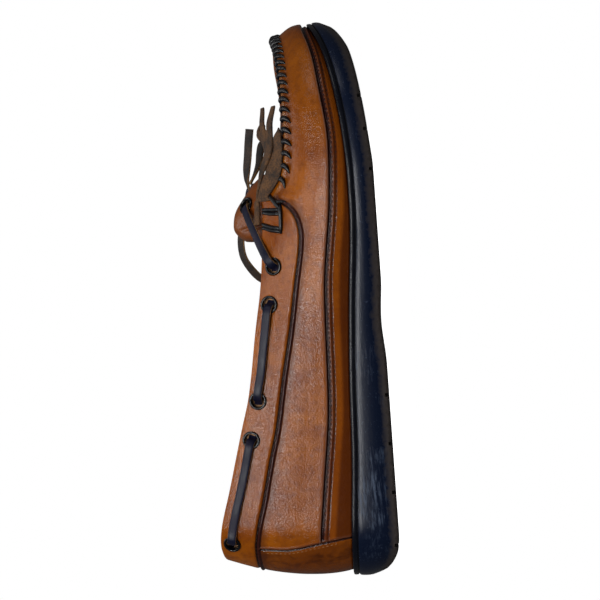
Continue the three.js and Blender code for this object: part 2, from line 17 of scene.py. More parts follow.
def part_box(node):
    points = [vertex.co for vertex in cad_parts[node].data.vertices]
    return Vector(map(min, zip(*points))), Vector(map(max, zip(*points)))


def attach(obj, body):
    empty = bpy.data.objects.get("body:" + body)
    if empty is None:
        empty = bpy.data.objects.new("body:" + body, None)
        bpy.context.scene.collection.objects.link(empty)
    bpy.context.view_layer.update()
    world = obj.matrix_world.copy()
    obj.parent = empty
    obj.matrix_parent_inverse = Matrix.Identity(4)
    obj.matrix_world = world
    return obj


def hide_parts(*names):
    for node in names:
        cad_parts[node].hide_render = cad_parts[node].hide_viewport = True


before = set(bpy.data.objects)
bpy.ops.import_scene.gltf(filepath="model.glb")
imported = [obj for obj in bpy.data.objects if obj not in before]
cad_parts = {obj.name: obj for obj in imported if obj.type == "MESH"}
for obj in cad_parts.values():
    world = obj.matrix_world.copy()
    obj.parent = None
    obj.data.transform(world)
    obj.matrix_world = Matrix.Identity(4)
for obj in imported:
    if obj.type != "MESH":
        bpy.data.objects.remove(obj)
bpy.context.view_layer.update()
MM = 0.001
RANDOM = np.random.default_rng(7)

# %% [markdown]
# ## Curves through measured stops
# The last of a shoe is drawn as a few numbers by section. Straight lines between them
# would show as flat bands in glossy leather, and a plain spline would overshoot. So each
# curve keeps the slope of its gentler neighbour at a stop, and is then smoothed a little.

# %% A smooth curve through stops
def curve_through(*stops, smooth=3.0):
    """Returns a function of x that passes near (x, value) stops and never overshoots."""
    x, y = np.array(stops, float).T
    rise = np.diff(y) / np.diff(x)
    before, after = rise[:-1], rise[1:]
    total = np.where(before + after == 0, 1, before + after)
    bend = np.where(before * after <= 0, 0, 2 * before * after / total)
    slope = np.concatenate([rise[:1], bend, rise[-1:]])
    fine = np.arange(x[0] - 40, x[-1] + 40, 0.25)
    u = np.clip(fine, x[0], x[-1])
    i = np.clip(np.searchsorted(x, u, side="right") - 1, 0, len(x) - 2)
    h = x[i + 1] - x[i]
    t = (u - x[i]) / h
    s = 1 - t
    value = y[i] * s * s * (1 + 2 * t) + y[i + 1] * t * t * (3 - 2 * t)
    value += h * t * s * (slope[i] * s - slope[i + 1] * t)
    if smooth:
        reach = np.arange(-3 * smooth, 3 * smooth + 0.25, 0.25)
        weight = np.exp(-0.5 * (reach / smooth) ** 2)
        padded = np.pad(value, len(reach) // 2, mode="edge")
        value = np.convolve(padded, weight / weight.sum(), mode="valid")[: len(fine)]
    return lambda at: np.interp(at, fine, value)


def ease(a, b, x):
    """0 before a, 1 after b, smooth between."""
    t = np.clip((np.asarray(x, float) - a) / (b - a), 0, 1)
    return t * t * (3 - 2 * t)


def unit(v):
    return v / np.maximum(np.linalg.norm(v, axis=-1, keepdims=True), 1e-9)


print("a rise eased half way:", float(ease(0, 1, 0.5)))

# %% [markdown]
# ## The last
# The outline from above, the height of the sole's edge and the lean of the upper's wall
# are the shape that leather is pulled over. They repeat the source's own sizes, so that
# every piece here lies where the CAD solid lies.

# %% The last's own sizes, in mm
LENGTH, WALL, FIT, FEATHER_IN = 298.6, 2.2, 0.35, -3.6
centre = curve_through((0, 0), (40, 0), (75, -1.4), (112, -3), (142, -3.4), (172, -2.4),
                       (200, -0.6), (222, 0.6), (246, 2.2), (277, 5), (298.6, 6.5))
half = curve_through((0, 34), (40, 35.6), (75, 36.2), (112, 37), (142, 38.6), (172, 43.2),
                     (200, 48.8), (222, 51), (246, 50.6), (277, 45.5), (298.6, 41))
sole_top = curve_through((0, 25.6), (26, 24.5), (67, 21.6), (112, 19.7), (142, 17.7),
                         (200, 13.6), (212, 13.6), (234, 14.8), (252, 17), (277, 22.1),
                         (289, 26.5), (298.6, 31.6))
tread = curve_through((0, 11), (3.5, 7.6), (8.7, 4), (16.6, 0.8), (26, 0), (112, 0),
                      (136, 1.4), (160, 0), (212, 0), (234, 1.6), (252, 3.6), (277, 8),
                      (291, 14.7), (298.6, 21), smooth=1.2)
collar_in = curve_through((0, -13.2), (20, -10), (50, -7), (100, -6.6), (135, -8),
                          (160, -11), (182, -16), (200, -20.6))
belly = curve_through((0, 2.2), (50, 2), (100, 2.2), (135, 2.6), (160, 2.8), (200, 3))
panel = curve_through((0, 0.55), (50, 0.6), (100, 0.62), (160, 0.66), (200, 0.84))
topline = curve_through((13, 94.2), (22, 95.2), (31, 94), (53, 87.7), (85, 78.7),
                        (101, 74), (134, 68.2), (162, 63.2), (198, 60))
seam_in = curve_through((196, -16), (215, -14), (235, -12), (260, -10.6), (285, -9.4),
                        (298.6, -8))
moc_z = curve_through((196, 54.5), (203, 52), (208, 48.8), (216, 45.6), (225, 44),
                      (242, 43.4), (262, 44.2), (274, 45.1), (283, 46.4), (291, 48.6),
                      smooth=2)
ridge_z = curve_through((213, 61.3), (220, 57), (230, 52), (240, 48.9), (250, 47.8),
                        (262, 48.4), (275, 50.2), (285, 50.6), (291, 48.8))
print("ball breadth", round(2 * float(half(222)), 1), "mm, heel", round(2 * float(half(20)), 1))


# %% The outline from above
def half_breadth(x):
    heel = np.clip(1 - x / 34, 0, 1)
    toe = np.clip(1 - (LENGTH - x) / 60.6, 0, 1)
    return half(x) * (1 - heel ** 2.1) ** (1 / 2.1) * (1 - toe ** 2.6) ** (1 / 2.6)


def outline(turn):
    """The sole's outline: turn 0 is the back of the heel, 0.25 the outer side, 0.5 the toe."""
    angle = 2 * np.pi * np.asarray(turn, float)
    x = LENGTH / 2 * (1 - np.cos(angle))
    return np.stack([x, centre(x) - np.sign(np.sin(angle)) * half_breadth(x)], -1)


def beside(turn, out):
    """A point that far outside the outline."""
    along = outline(turn + 0.002) - outline(turn - 0.002)
    side = unit(np.stack([along[..., 1], -along[..., 0]], -1))
    return outline(turn) + side * np.asarray(out)[..., None]


print("the outer side's middle is at", outline(0.25).round(1), "mm")


# %% The wall of the upper
def wall_point(turn, t, edge_in, edge_z, lean):
    """A leather wall from the feather edge (t = 0) up to an edge further in (t = 1)."""
    foot = sole_top(beside(turn, FEATHER_IN)[..., 0]) + FIT
    swell = belly(outline(turn)[..., 0]) * np.sin(np.pi * t ** 0.7)
    xy = beside(turn, FEATHER_IN + (edge_in - FEATHER_IN) * t ** lean + swell)
    return np.concatenate([xy, (foot + (edge_z - foot) * t)[..., None]], -1)


def quarter_point(turn, v):
    x = outline(turn)[..., 0]
    edge_in, share = collar_in(x), panel(x)
    t = np.where(v < 0.5, 2 * v * share, share + (1 - share) * (2 * v - 1))
    return wall_point(turn, t, edge_in, topline(beside(turn, edge_in)[..., 0]), 2.3)


THROAT_X = 200.0


def turn_of(x):
    """The turn on the outer side whose outline point is this far from the heel."""
    return math.acos(1 - 2 * x / LENGTH) / (2 * math.pi)


THROAT_TURN = turn_of(THROAT_X)
print("the throat's corner is at turn", round(THROAT_TURN, 3))


# %% The plug and the whole skin

def throat_point(turn):
    """The edge of the plug across the instep."""
    start = np.where(turn <= 0.5, THROAT_TURN, 1 - THROAT_TURN)
    share = np.clip((turn - start) / (0.5 - start), 0, 1)
    corner = quarter_point(start, np.ones_like(start))
    bend = 1 - (1 - share) ** 2
    x = corner[..., 0] + (224 - corner[..., 0]) * bend
    y = corner[..., 1] + (centre(THROAT_X) + 1 - corner[..., 1]) * share
    return np.stack([x, y, corner[..., 2] - 5 * bend], -1)


def vamp_point(turn, v):
    edge_in = seam_in(outline(turn)[..., 0])
    seam_xy = beside(turn, edge_in)
    seam_z = moc_z(seam_xy[..., 0])
    wall = wall_point(turn, np.clip(2 * v, 0, 1), edge_in, seam_z, 3)
    seam = np.concatenate([seam_xy, seam_z[..., None]], -1)
    edge = throat_point(turn)
    s = np.clip(2 * v - 1, 0, 1)
    plug = seam + (edge - seam) * s[..., None]
    low, high = ridge_z(seam[..., 0]) - seam_z, ridge_z(edge[..., 0]) - edge[..., 2]
    plug[..., 2] = ridge_z(plug[..., 0]) - (low + (high - low) * (1 - (1 - s) ** 2))
    return np.where((v <= 0.5)[..., None], wall, plug)


def skin(turn, v):
    """The upper's outer skin: v is 0 at the sole, 1 at the collar or the throat."""
    turn, v = np.broadcast_arrays(np.asarray(turn, float), np.asarray(v, float))
    turn = turn % 1.0
    front = ease(193, 209, outline(turn)[..., 0])[..., None]
    return quarter_point(turn, v) * (1 - front) + vamp_point(turn, v) * front


def skin_normal(turn, v):
    around = skin(turn + 0.004, v) - skin(turn - 0.004, v)
    up = skin(turn, np.minimum(1, v + 0.004)) - skin(turn, np.maximum(0, v - 0.004))
    return unit(np.cross(around, up))


print("the toe's skin is highest at", skin(0.5, 1.0).round(1), "mm")


# %% Where the last lies in the row's frame
low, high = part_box("sole")
ring = outline(np.linspace(0, 1, 4000))
across = (ring[:, 1].min() + ring[:, 1].max()) / 2
ORIGIN = np.array([LENGTH / 2 - (low.x + high.x) / 2 / MM, across - (low.y + high.y) / 2 / MM, 0])
print("the last's heel is at x =", round(-ORIGIN[0], 2), "mm, its middle at", round(-ORIGIN[1], 2))


def to_row(points):
    """Last millimetres to the row's metres."""
    return (np.asarray(points, float) - ORIGIN) * MM


# %% [markdown]
# ## The camera
# The shoe is seen from its outer side, a little from below, and stands on end in the
# frame with its toe up. So the camera stays level with the floor, beside the middle of
# the shoe, and is rolled a quarter turn and a few degrees.

# %% Place the camera
SENSOR = 36                 # mm, the sensor's width
VIEW_BREADTH = 324.6 * MM   # what the picture takes in, side to side, at the shoe


def place_camera(distance=0.78, height=0.002, aim=(0.0005, 0.0, 0.0445), lean=4.07):
    eye = Vector((0.0, -distance, height))
    data = bpy.data.cameras.new("side_camera")
    data.sensor_width = SENSOR
    data.lens = SENSOR * distance / VIEW_BREADTH
    camera = bpy.data.objects.new("side_camera", data)
    bpy.context.scene.collection.objects.link(camera)
    back = (eye - Vector(aim)).normalized()
    turn = math.radians(lean)
    toe_up = Vector((math.cos(turn), 0, -math.sin(turn)))
    up = (toe_up - back * toe_up.dot(back)).normalized()
    right = up.cross(back)
    camera.matrix_world = Matrix((
        (right.x, up.x, back.x, eye.x), (right.y, up.y, back.y, eye.y),
        (right.z, up.z, back.z, eye.z), (0, 0, 0, 1)))
    bpy.context.scene.camera = camera
    print("camera lens", round(data.lens, 1), "mm, right is", [round(c, 2) for c in right])


place_camera()

# %% [markdown]
# ## Making materials and meshes
# A material is a small graph: patterns make masks, masks choose colours and roughness,
# and the same masks raise or sink the surface with a bump. One function adds a node with
# its settings and links. One more turns colours to linear light.

# %% Small tools for nodes
def linear(colour):
    """A linear RGBA from an sRGB hex."""
    parts = [int(colour[i:i + 2], 16) / 255 for i in (1, 3, 5)]
    return [p / 12.92 if p <= 0.04045 else ((p + 0.055) / 1.055) ** 2.4 for p in parts] + [1.0]


def add(tree, kind, inputs, **settings):
    """Adds a node; an input takes a number, a hex colour, a node or one of its outputs."""
    made = tree.nodes.new("ShaderNode" + kind)
    for name, value in settings.items():
        setattr(made, name, value)
    for key, value in inputs.items():
        if isinstance(value, bpy.types.Node):
            value = next(o for o in value.outputs if o.enabled)
        if isinstance(value, bpy.types.NodeSocket):
            tree.links.new(value, made.inputs[key])
        else:
            made.inputs[key].default_value = linear(value) if isinstance(value, str) else value
    return made


def material(name, build, **shader):
    """Makes a material: build(tree) returns what is linked to the shader, shader holds constants."""
    made = bpy.data.materials.new(name)
    made.use_nodes = True
    tree = made.node_tree
    tree.nodes.clear()
    surface = add(tree, "BsdfPrincipled", {**shader, **build(tree)})
    add(tree, "OutputMaterial", {"Surface": surface})
    return made


def per_mm(size):
    """The scale of a pattern whose cell is this many millimetres in a metre-sized scene."""
    return 1000 / size


print("mid grey in linear light is", round(linear("#808080")[0], 3))


# %% Meshes from points
def mesh_piece(name, points, faces, materials, face_slots=None, smooth=True):
    """A piece from last-millimetre points; it rides on the shoe's one body."""
    mesh = bpy.data.meshes.new(name)
    mesh.from_pydata(to_row(points).tolist(), [], [list(map(int, f)) for f in faces])
    for one in materials:
        mesh.materials.append(one)
    if face_slots is not None:
        mesh.polygons.foreach_set("material_index", np.asarray(face_slots, np.int32))
    mesh.polygons.foreach_set("use_smooth", np.full(len(mesh.polygons), smooth))
    mesh.validate()
    mesh.update()
    piece = bpy.data.objects.new(name, mesh)
    bpy.context.scene.collection.objects.link(piece)
    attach(piece, "root")
    return piece


def grid_faces(rows, columns, wrap_rows=False, wrap_columns=False):
    """Quads of a grid of rows x columns points, optionally joined round."""
    r = np.arange(rows if wrap_rows else rows - 1)
    c = np.arange(columns if wrap_columns else columns - 1)
    r, c = [k.ravel() for k in np.meshgrid(r, c, indexing="ij")]
    r2, c2 = (r + 1) % rows, (c + 1) % columns
    return np.stack([r * columns + c, r * columns + c2, r2 * columns + c2, r2 * columns + c], 1)


print("a grid of 3 x 4 points has", len(grid_faces(3, 4)), "faces")

# %% [markdown]
# ## The lace and its leather
# A boat shoe's lace is a strap of oiled cowhide: a dyed grain face, raw tan edges and a
# suede back. It could be a plain tube, but a tube never shows its edge. Here a flat
# section with soft corners is swept along the route, and each side has its own leather.

# %% Lace leathers
def lace_grain(tree):
    """Dyed, oiled cowhide: dark navy that rubs to brown, with fine wrinkles across it."""
    place = add(tree, "TexCoord", {}).outputs["Object"]
    rubbed = add(tree, "TexNoise", {"Vector": place, "Scale": per_mm(7), "Detail": 4.0})
    mask = add(tree, "MapRange", {"Value": rubbed, 1: 0.45, 2: 0.75})
    colour = add(tree, "Mix", {0: mask, 6: "#080c20", 7: "#201b2c"}, data_type="RGBA")
    # Pores are a few tenths of a millimetre apart, too fine to show, so they are drawn at 0.7.
    pores = add(tree, "TexNoise", {"Vector": place, "Scale": per_mm(0.7), "Detail": 3.0})
    bump = add(tree, "Bump", {"Height": pores, "Strength": 0.5, "Distance": 0.0001})
    rough = add(tree, "MapRange", {"Value": rubbed, 1: 0.3, 2: 0.7, 3: 0.34, 4: 0.5})
    return {"Base Color": colour, "Roughness": rough, "Normal": bump}


def raw_leather(light, dark):
    """Cut or split cowhide: matt, its fibres show as short mottling."""
    def build(tree):
        place = add(tree, "TexCoord", {}).outputs["Object"]
        # Single fibres are too fine to show, so they are drawn as tufts of 0.9 mm.
        fibres = add(tree, "TexNoise", {"Vector": place, "Scale": per_mm(0.9), "Detail": 5.0})
        cloud = add(tree, "TexNoise", {"Vector": place, "Scale": per_mm(8), "Detail": 2.0})
        both = add(tree, "Math", {0: fibres, 1: cloud}, operation="MULTIPLY")
        mask = add(tree, "MapRange", {"Value": both, 1: 0.14, 2: 0.36})
        colour = add(tree, "Mix", {0: mask, 6: dark, 7: light}, data_type="RGBA")
        bump = add(tree, "Bump", {"Height": fibres, "Strength": 0.7, "Distance": 0.0003})
        return {"Base Color": colour, "Normal": bump}
    return build


# The dyed face gives a soft dark shine, the cut edge a bright tan line along each border,
# and the split back a dull fibrous brown.
LACE_GRAIN = material("oiled_cowhide_navy_grain", lace_grain, IOR=1.5,
                      **{"Specular IOR Level": 0.2})
LACE_EDGE = material("cowhide_cut_edge", raw_leather("#a07a4c", "#54381c"), Roughness=0.8)
LACE_BACK = material("cowhide_suede_back", raw_leather("#6d5134", "#33231a"), Roughness=0.92)
LACE = [LACE_GRAIN, LACE_EDGE, LACE_BACK]
# The bow's straps are turned over, so their darkly oiled backs look outward.
OILED_BACK = material("cowhide_oiled_back", raw_leather("#34251a", "#0b0808"), Roughness=0.8)
TURNED_LACE = [OILED_BACK, LACE_EDGE, LACE_GRAIN]
print("lace leathers:", [leather.name for leather in LACE + [OILED_BACK]])


# %% The lace's section and route
# Half the section of a 4.4 x 1.6 mm strap, from its face round an edge to its back.
SECTION = np.array([[0, 0.86], [0.9, 0.84], [1.7, 0.78], [2.08, 0.58], [2.2, 0.2], [2.2, -0.25],
                    [2.06, -0.6], [1.7, -0.78], [0.9, -0.8], [0, -0.8]])
SECTION = np.concatenate([SECTION, SECTION[-2:0:-1] * [-1, 1]])
SECTION_LEATHER = [0, 0, 0, 1, 1, 1, 2, 2, 2, 2, 2, 2, 1, 1, 1, 0, 0, 0]


def smooth_route(stops, step=1.1):
    """A curve through the stops, and what each stop carries, at even steps along it."""
    stops = np.asarray(stops, float)
    gap = np.sqrt(np.linalg.norm(np.diff(stops[:, :3], axis=0), axis=1))
    knots = np.concatenate([[0], np.cumsum(np.maximum(gap, 1e-3))])
    first, last = 2 * stops[0] - stops[1], 2 * stops[-1] - stops[-2]
    p = np.vstack([first, stops, last])
    k = np.concatenate([[knots[0] - gap[0]], knots, [knots[-1] + gap[-1]]])
    made = []
    for i in range(1, len(stops)):
        t = np.linspace(k[i], k[i + 1], 24)[:, None]
        def blend(a, b, low, high):
            return ((high - t) * a + (t - low) * b) / (high - low)
        a1, a2, a3 = (blend(p[j], p[j + 1], k[j], k[j + 1]) for j in (i - 1, i, i + 1))
        b1, b2 = blend(a1, a2, k[i - 1], k[i + 1]), blend(a2, a3, k[i], k[i + 2])
        made.append(blend(b1, b2, k[i], k[i + 1])[: None if i == len(stops) - 1 else -1])
    made = np.vstack(made)
    run = np.concatenate([[0], np.cumsum(np.linalg.norm(np.diff(made[:, :3], axis=0), axis=1))])
    even = np.linspace(0, run[-1], max(3, round(run[-1] / step)))
    return np.stack([np.interp(even, run, column) for column in made.T], 1), run[-1]


print("the strap is", np.ptp(SECTION[:, 0]).round(1), "x", np.ptp(SECTION[:, 1]).round(1), "mm")


# %% Sweep a flat lace along a route
def lace_mesh(route, width=1.0, wave=0.12, closed=False):
    """Points, faces and leathers of a lace; a route row is x, y, z and its face's direction."""
    place, face = route[:, :3], route[:, 3:6]
    if closed:
        along = unit(np.roll(place, -1, 0) - np.roll(place, 1, 0))
    else:
        along = unit(np.gradient(place, axis=0))
    across = unit(np.cross(along, face))
    up = unit(np.cross(across, along))
    count, sides = len(place), len(SECTION)
    roll = np.cumsum(RANDOM.normal(0, 0.25, count))
    roll = wave * np.sin(roll * 0.6)
    broad = width * (1 + 0.05 * np.sin(roll * 9 + 1))
    u = across * np.cos(roll)[:, None] + up * np.sin(roll)[:, None]
    w = up * np.cos(roll)[:, None] - across * np.sin(roll)[:, None]
    points = (place[:, None] + u[:, None] * (SECTION[:, 0][None, :, None] * broad[:, None, None])
              + w[:, None] * SECTION[:, 1][None, :, None])
    faces = grid_faces(count, sides, wrap_rows=closed, wrap_columns=True)[:, ::-1].tolist()
    leathers = SECTION_LEATHER * (count if closed else count - 1)
    if not closed:
        faces += [list(range(sides)), [(count - 1) * sides + k for k in range(sides)][::-1]]
        leathers = leathers + [1, 1]
    return points.reshape(-1, 3), faces, leathers


def join_parts(parts):
    """One set of points, faces and slots from several."""
    points, faces, slots, start = [], [], [], 0
    for p, f, s in parts:
        points.append(p)
        faces += [[k + start for k in face] for face in f]
        slots += list(s)
        start += len(p)
    return np.vstack(points), faces, slots


print("points round the lace:", len(SECTION))

# %% [markdown]
# ## The bow
# The knot, two loops and two ends are free lace, each swept along its own route, and the
# length of each is printed. Their routes repeat the source's stops: x, y, z and the way the face
# looks.
# A simulation could let them fall, but oiled straps keep the curl they were tied with.

# %% Bow routes
BOW = {
    "bow_loop_back": [
        (204.8, 22.6, 70.4, 0, -0.1, 1), (198.6, 25, 73, 0, -0.5, 0.9),
        (191, 26.4, 75.6, 0, -0.8, 0.6), (183.6, 28.4, 76.8, 0, -0.9, 0.5),
        (176, 30, 76, -0.1, -0.9, 0.5), (169, 33, 72.4, -0.3, -0.9, 0.3),
        (163.6, 36.4, 67.6, -0.5, -0.9, 0.1), (161.4, 39.6, 62, -0.5, -0.9, -0.1),
        (164.6, 41.6, 57, -0.2, -0.9, -0.4), (170.6, 40.4, 57, 0.2, -0.9, -0.5),
        (176.4, 36.4, 61, 0.2, -0.9, -0.5), (182, 32, 65.4, 0.2, -0.8, -0.6),
        (188.4, 28.4, 68, 0.1, -0.6, -0.8), (195.4, 26.2, 68.2, 0, -0.4, -1),
        (202.8, 24.6, 67, 0, -0.2, -1)],
    "bow_loop_front": [
        (216.8, 21.8, 68.4, 0, -0.2, 1), (221.4, 24, 66, 0, -0.5, 0.9),
        (227.6, 27.4, 63.6, 0.1, -0.8, 0.6), (234, 31, 62.8, 0.2, -0.9, 0.4),
        (239.6, 35, 61.4, 0.5, -0.8, 0.3), (241.6, 38.8, 57.2, 0.6, -0.8, -0.1),
        (238, 41.4, 52.8, 0.2, -0.8, -0.6), (231, 41, 51.4, -0.2, -0.7, -0.7),
        (224, 37.8, 54.6, -0.3, -0.6, -0.8), (218.4, 32.6, 59.6, -0.4, -0.4, -0.9),
        (215.6, 27.2, 64.6, -0.5, -0.2, -0.8)],
    "bow_end_front": [
        (213.6, 16.2, 69.4, 0, -0.2, 1), (218, 12.6, 69.8, 0, -0.6, 0.9),
        (223.6, 9.2, 69, 0, -1, 0.6), (230, 7, 67.8, 0, -1, 0.4),
        (237, 5.6, 66.8, 0, -1, 0.3), (244.7, 5, 65.6, 0, -1, 0.3)],
    "bow_end_back": [
        (206, 27.8, 64.8, 0, 0.5, 1), (200.4, 29.6, 64.2, 0, 0.6, 1),
        (194, 31.4, 62.8, 0, 0.8, 0.9), (188, 34.2, 60.2, 0, 0.9, 0.6),
        (182.6, 37.6, 56.4, -0.1, 1, 0.4), (178.4, 41, 51.4, -0.2, 1, 0.3),
        (175.4, 43.6, 46, -0.2, 1, 0.2)],
}
KNOT = np.array([210.6, 21.8, 67.4])
print("the bow's pieces:", len(BOW), "stretches and a knot at", KNOT)


# %% The knot
def wrap(radius_along, radius_up, turned, sink, thick=1.0):
    """A closed turn of lace round the knot; turned is its angle seen from above."""
    t = np.linspace(0, 2 * np.pi, 40, endpoint=False)
    way = np.array([-math.sin(turned), math.cos(turned), 0])
    up = np.array([0.25, 0, 1])
    place = KNOT + np.cos(t)[:, None] * way * radius_along + np.sin(t)[:, None] * up * radius_up
    place = place + [0, 0, sink]
    face = np.cos(t)[:, None] * way / radius_along + np.sin(t)[:, None] * up / radius_up
    return lace_mesh(np.hstack([place, unit(face)]), width=thick, wave=0.05, closed=True)


wraps = join_parts([wrap(4.6, 2.7, 0.1, 0.7), wrap(5.4, 1.7, 0.75, -0.6),
                    wrap(5.4, 1.6, -0.8, -1.0), wrap(2.4, 1.2, 1.3, -0.4)])
knot = mesh_piece("bow_knot_lace", wraps[0], wraps[1], LACE, wraps[2])
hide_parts("bow_knot")
print("knot faces:", len(knot.data.polygons))


# %% Loops and ends
def make_bow():
    for name, stops in BOW.items():
        route, run = smooth_route(stops)
        points, faces, leathers = lace_mesh(route)
        piece = mesh_piece(name + "_lace", points, faces, TURNED_LACE, leathers)
        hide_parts(name)
        path = [tuple(p) for p in to_row(route[:: max(1, len(route) // 30), :3])]
        path[-1] = tuple(to_row(route[-1, :3]))
        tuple(path[0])
        print(name, "is", round(run, 1), "mm long")


make_bow()

# %% [markdown]
# ## The seams of the upper as lines
# A boat shoe's upper is a low wall, a collar panel lapped onto it, a heel counter and a
# plug sewn on top by hand. A texture could draw those seams, but they also have depth.
# So the seams are lines of height along the shoe, the grid of the mesh keeps rows close
# to them, and one relief function lifts and sinks the skin by the distance to each line.

# %% Seam lines and the run of the skin
groove_z = curve_through((24.8, 40.9), (51.6, 37.3), (94.6, 31.9), (154, 29.5), (202, 23.5),
                         (229, 22.1), (256.5, 24.9), (278.4, 28.2), (289.5, 31.8),
                         (295, 33.4), smooth=4)
collar_z = curve_through((7.9, 74.7), (19.1, 74.7), (29.9, 73.1), (46.1, 68.6), (67.8, 63.2),
                         (84.1, 58.7), (109.1, 53.7), (135.2, 47.9), (159.3, 43.4),
                         (169.4, 41.3), (177.6, 39.9), (183.9, 39.4), (190, 40.3),
                         (195.6, 42.7), (200, 47.4), (204, 52.3), smooth=1.5)
counter_x = curve_through((25.4, 24.8), (44.4, 21.8), (57.9, 19.5), (71, 20.6))
stitch_pitch = curve_through((203, 7.6), (225, 6.4), (240, 5.6), (262, 4.7), (291, 3.9))
print("the collar seam falls from", round(float(collar_z(20)), 1), "to",
      round(float(collar_z(184)), 1), "mm")


# %% Length along the skin
FINE_V = np.linspace(0, 1, 401)


def runs(turns):
    """Length along the skin from the sole, at each v of FINE_V."""
    points = skin(turns[:, None], FINE_V[None])
    steps = np.linalg.norm(np.diff(points, axis=1), axis=2)
    return points, np.hstack([np.zeros((len(turns), 1)), np.cumsum(steps, 1)])


def run_where(points, run, line):
    """The run at which the skin rises through a line of heights."""
    gap = points[..., 2] - line(points[..., 0])
    k = np.maximum(1, np.argmax(gap > 0, axis=1))
    rows = np.arange(len(points))
    share = -gap[rows, k - 1] / (gap[rows, k] - gap[rows, k - 1])
    return run[rows, k - 1] + share * (run[rows, k] - run[rows, k - 1])


def upright(run):
    """How much of a step along the skin is square to a line that climbs."""
    climb = (np.roll(run, -1) - np.roll(run, 1)) / (2 * along)
    return 1 / np.sqrt(1 + climb ** 2)


print("steps along the skin:", len(FINE_V))


# %% The grid's columns and the seams read on them
base_turns = np.arange(520) / 520
near_counter = np.abs(outline(base_turns)[:, 0] - 22) < 7
TURNS = np.sort(np.concatenate([base_turns, base_turns[near_counter] + 0.5 / 520]))
SKIN, RUN = runs(TURNS)
TURN_X = outline(TURNS)[:, 0]
moc_run = np.array([np.interp(0.5, FINE_V, r) for r in RUN])
into_moc = ease(199, 206, TURN_X)
GROOVE_RUN = run_where(SKIN, RUN, groove_z)
SEAM_RUN = run_where(SKIN, RUN, collar_z) * (1 - into_moc) + moc_run * into_moc
MOC_LINE = skin(TURNS, np.full(len(TURNS), 0.5))
along = np.linalg.norm(np.roll(MOC_LINE, -1, 0) - np.roll(MOC_LINE, 1, 0), axis=1) / 2
GROOVE_SQUARE, SEAM_SQUARE = upright(GROOVE_RUN), upright(SEAM_RUN)
sewn = TURN_X > 203
STITCH_COUNT = np.where(sewn, along / stitch_pitch(MOC_LINE[:, 0]), 0).cumsum()
print("run over the toe", round(RUN.max(), 1), "mm, moc stitches", int(STITCH_COUNT[-1]))


def around(values, turns):
    """A value kept by turn, read at any turn."""
    return np.interp(np.asarray(turns) % 1.0, TURNS, values, period=1.0)


# %% Relief of the leather
def waves(points, size, seed, count=9):
    """Soft unevenness, about -1 to 1, in waves of this length in mm."""
    source = np.random.default_rng(seed)
    total = 0
    for _ in range(count):
        way = source.normal(size=3)
        way = way / np.linalg.norm(way) / (size * source.uniform(0.7, 1.6)) * 2 * np.pi
        total = total + np.sin(points @ way + source.uniform(0, 6.3))
    return total / count * 1.6


# Each profile is steps square to a seam and how far the leather lifts there, in mm.
LAP = ((-12, 0), (-6, 0), (-4.9, 0.12), (-4.3, 0.1), (-3.9, -0.12), (-3.5, 0.15), (-2.8, 0.5),
       (-2.2, 0.4), (-1.9, 0.05), (-1.6, 0.1), (-1.2, -0.45), (-0.7, -0.75), (-0.25, -0.4),
       (0.1, 0.35), (0.5, 0.62), (1.2, 0.62), (4, 0.3), (10, 0))
ROLL = ((-5, 0), (-2.3, -0.05), (-1.9, -0.3), (-1.5, 0.25), (-1.0, 0.7), (-0.4, 0.75), (0, 0.35),
        (0.35, -0.6), (0.8, -0.7), (1.2, -0.4), (1.8, 0.05), (3, 0.15), (7, 0))
BACK = ((-5, 0), (-2, 0.25), (-1.4, 0.12), (-1.0, 0.25), (-0.3, 0.2), (0.1, -0.55), (0.5, -0.4),
        (0.9, 0.4), (1.5, 0.45), (2.2, 0.1), (4, 0))
# Flex creases over the ball: x where each starts at the outer side, its lean, depth, breadth.
CREASES = ((229, -0.10, 0.55, 2.6), (238, 0.06, 0.42, 2.2), (246, -0.04, 0.25, 2.0))
print("the roll of the collar seam stands", max(lift for _, lift in ROLL), "mm proud")


def profile(stops, at):
    return np.interp(at, *np.array(stops).T)


# %% The dressed skin
MARKS = ("groove", "seam", "counter", "moc")


def dressed(turns, run):
    """Points of the finished leather, their normals and the distances to each seam, in mm."""
    turns = np.asarray(turns, float)
    _, table = runs(turns)
    v = np.array([np.interp(r, t, FINE_V) for r, t in zip(run, table)])
    across = turns[:, None]
    point, normal = skin(across, v), skin_normal(across, v)
    groove = (run - around(GROOVE_RUN, turns)[:, None]) * around(GROOVE_SQUARE, turns)[:, None]
    seam = (run - around(SEAM_RUN, turns)[:, None]) * around(SEAM_SQUARE, turns)[:, None]
    counter = point[..., 0] - counter_x(point[..., 2])
    moc = ease(200.5, 206, outline(turns)[:, 0])[:, None] + 0 * run
    pull = 0.5 - 0.5 * np.cos(2 * np.pi * around(STITCH_COUNT, turns))[:, None]
    ahead = ease(0.4, 2.2, counter)
    under_collar = ease(-0.2, -1.2, seam) * (1 - moc)
    relief = profile(LAP, groove) * ahead
    relief = relief + profile(ROLL, seam) * (1 - moc)
    relief = relief + profile(BACK, counter) * under_collar * (point[..., 0] < 60)
    relief = relief + moc * (np.exp(-(seam / 1.5) ** 2) * (1.25 - 0.55 * pull)
                             + np.exp(-((seam + 3.3) / 1.5) ** 2) * (0.12 - 0.5 * pull)
                             + np.exp(-((seam - 2.8) / 1.3) ** 2) * (0.1 - 0.4 * pull))
    for start, lean, depth, breadth in CREASES:
        line = start + lean * (point[..., 1] + 40) + 1.2 * waves(point, 30, int(start))
        fade = ease(1, 7, seam) * moc
        off = (point[..., 0] - line) / breadth
        relief = relief - depth * fade * (np.exp(-off ** 2) - 0.45 * np.exp(-(off - 2) ** 2))
    relief = relief + 0.13 * waves(point, 34, 3) + 0.05 * waves(point, 11, 4)
    made = point + normal * relief[..., None]
    return made, normal, dict(zip(MARKS, (groove, seam, counter, moc)))


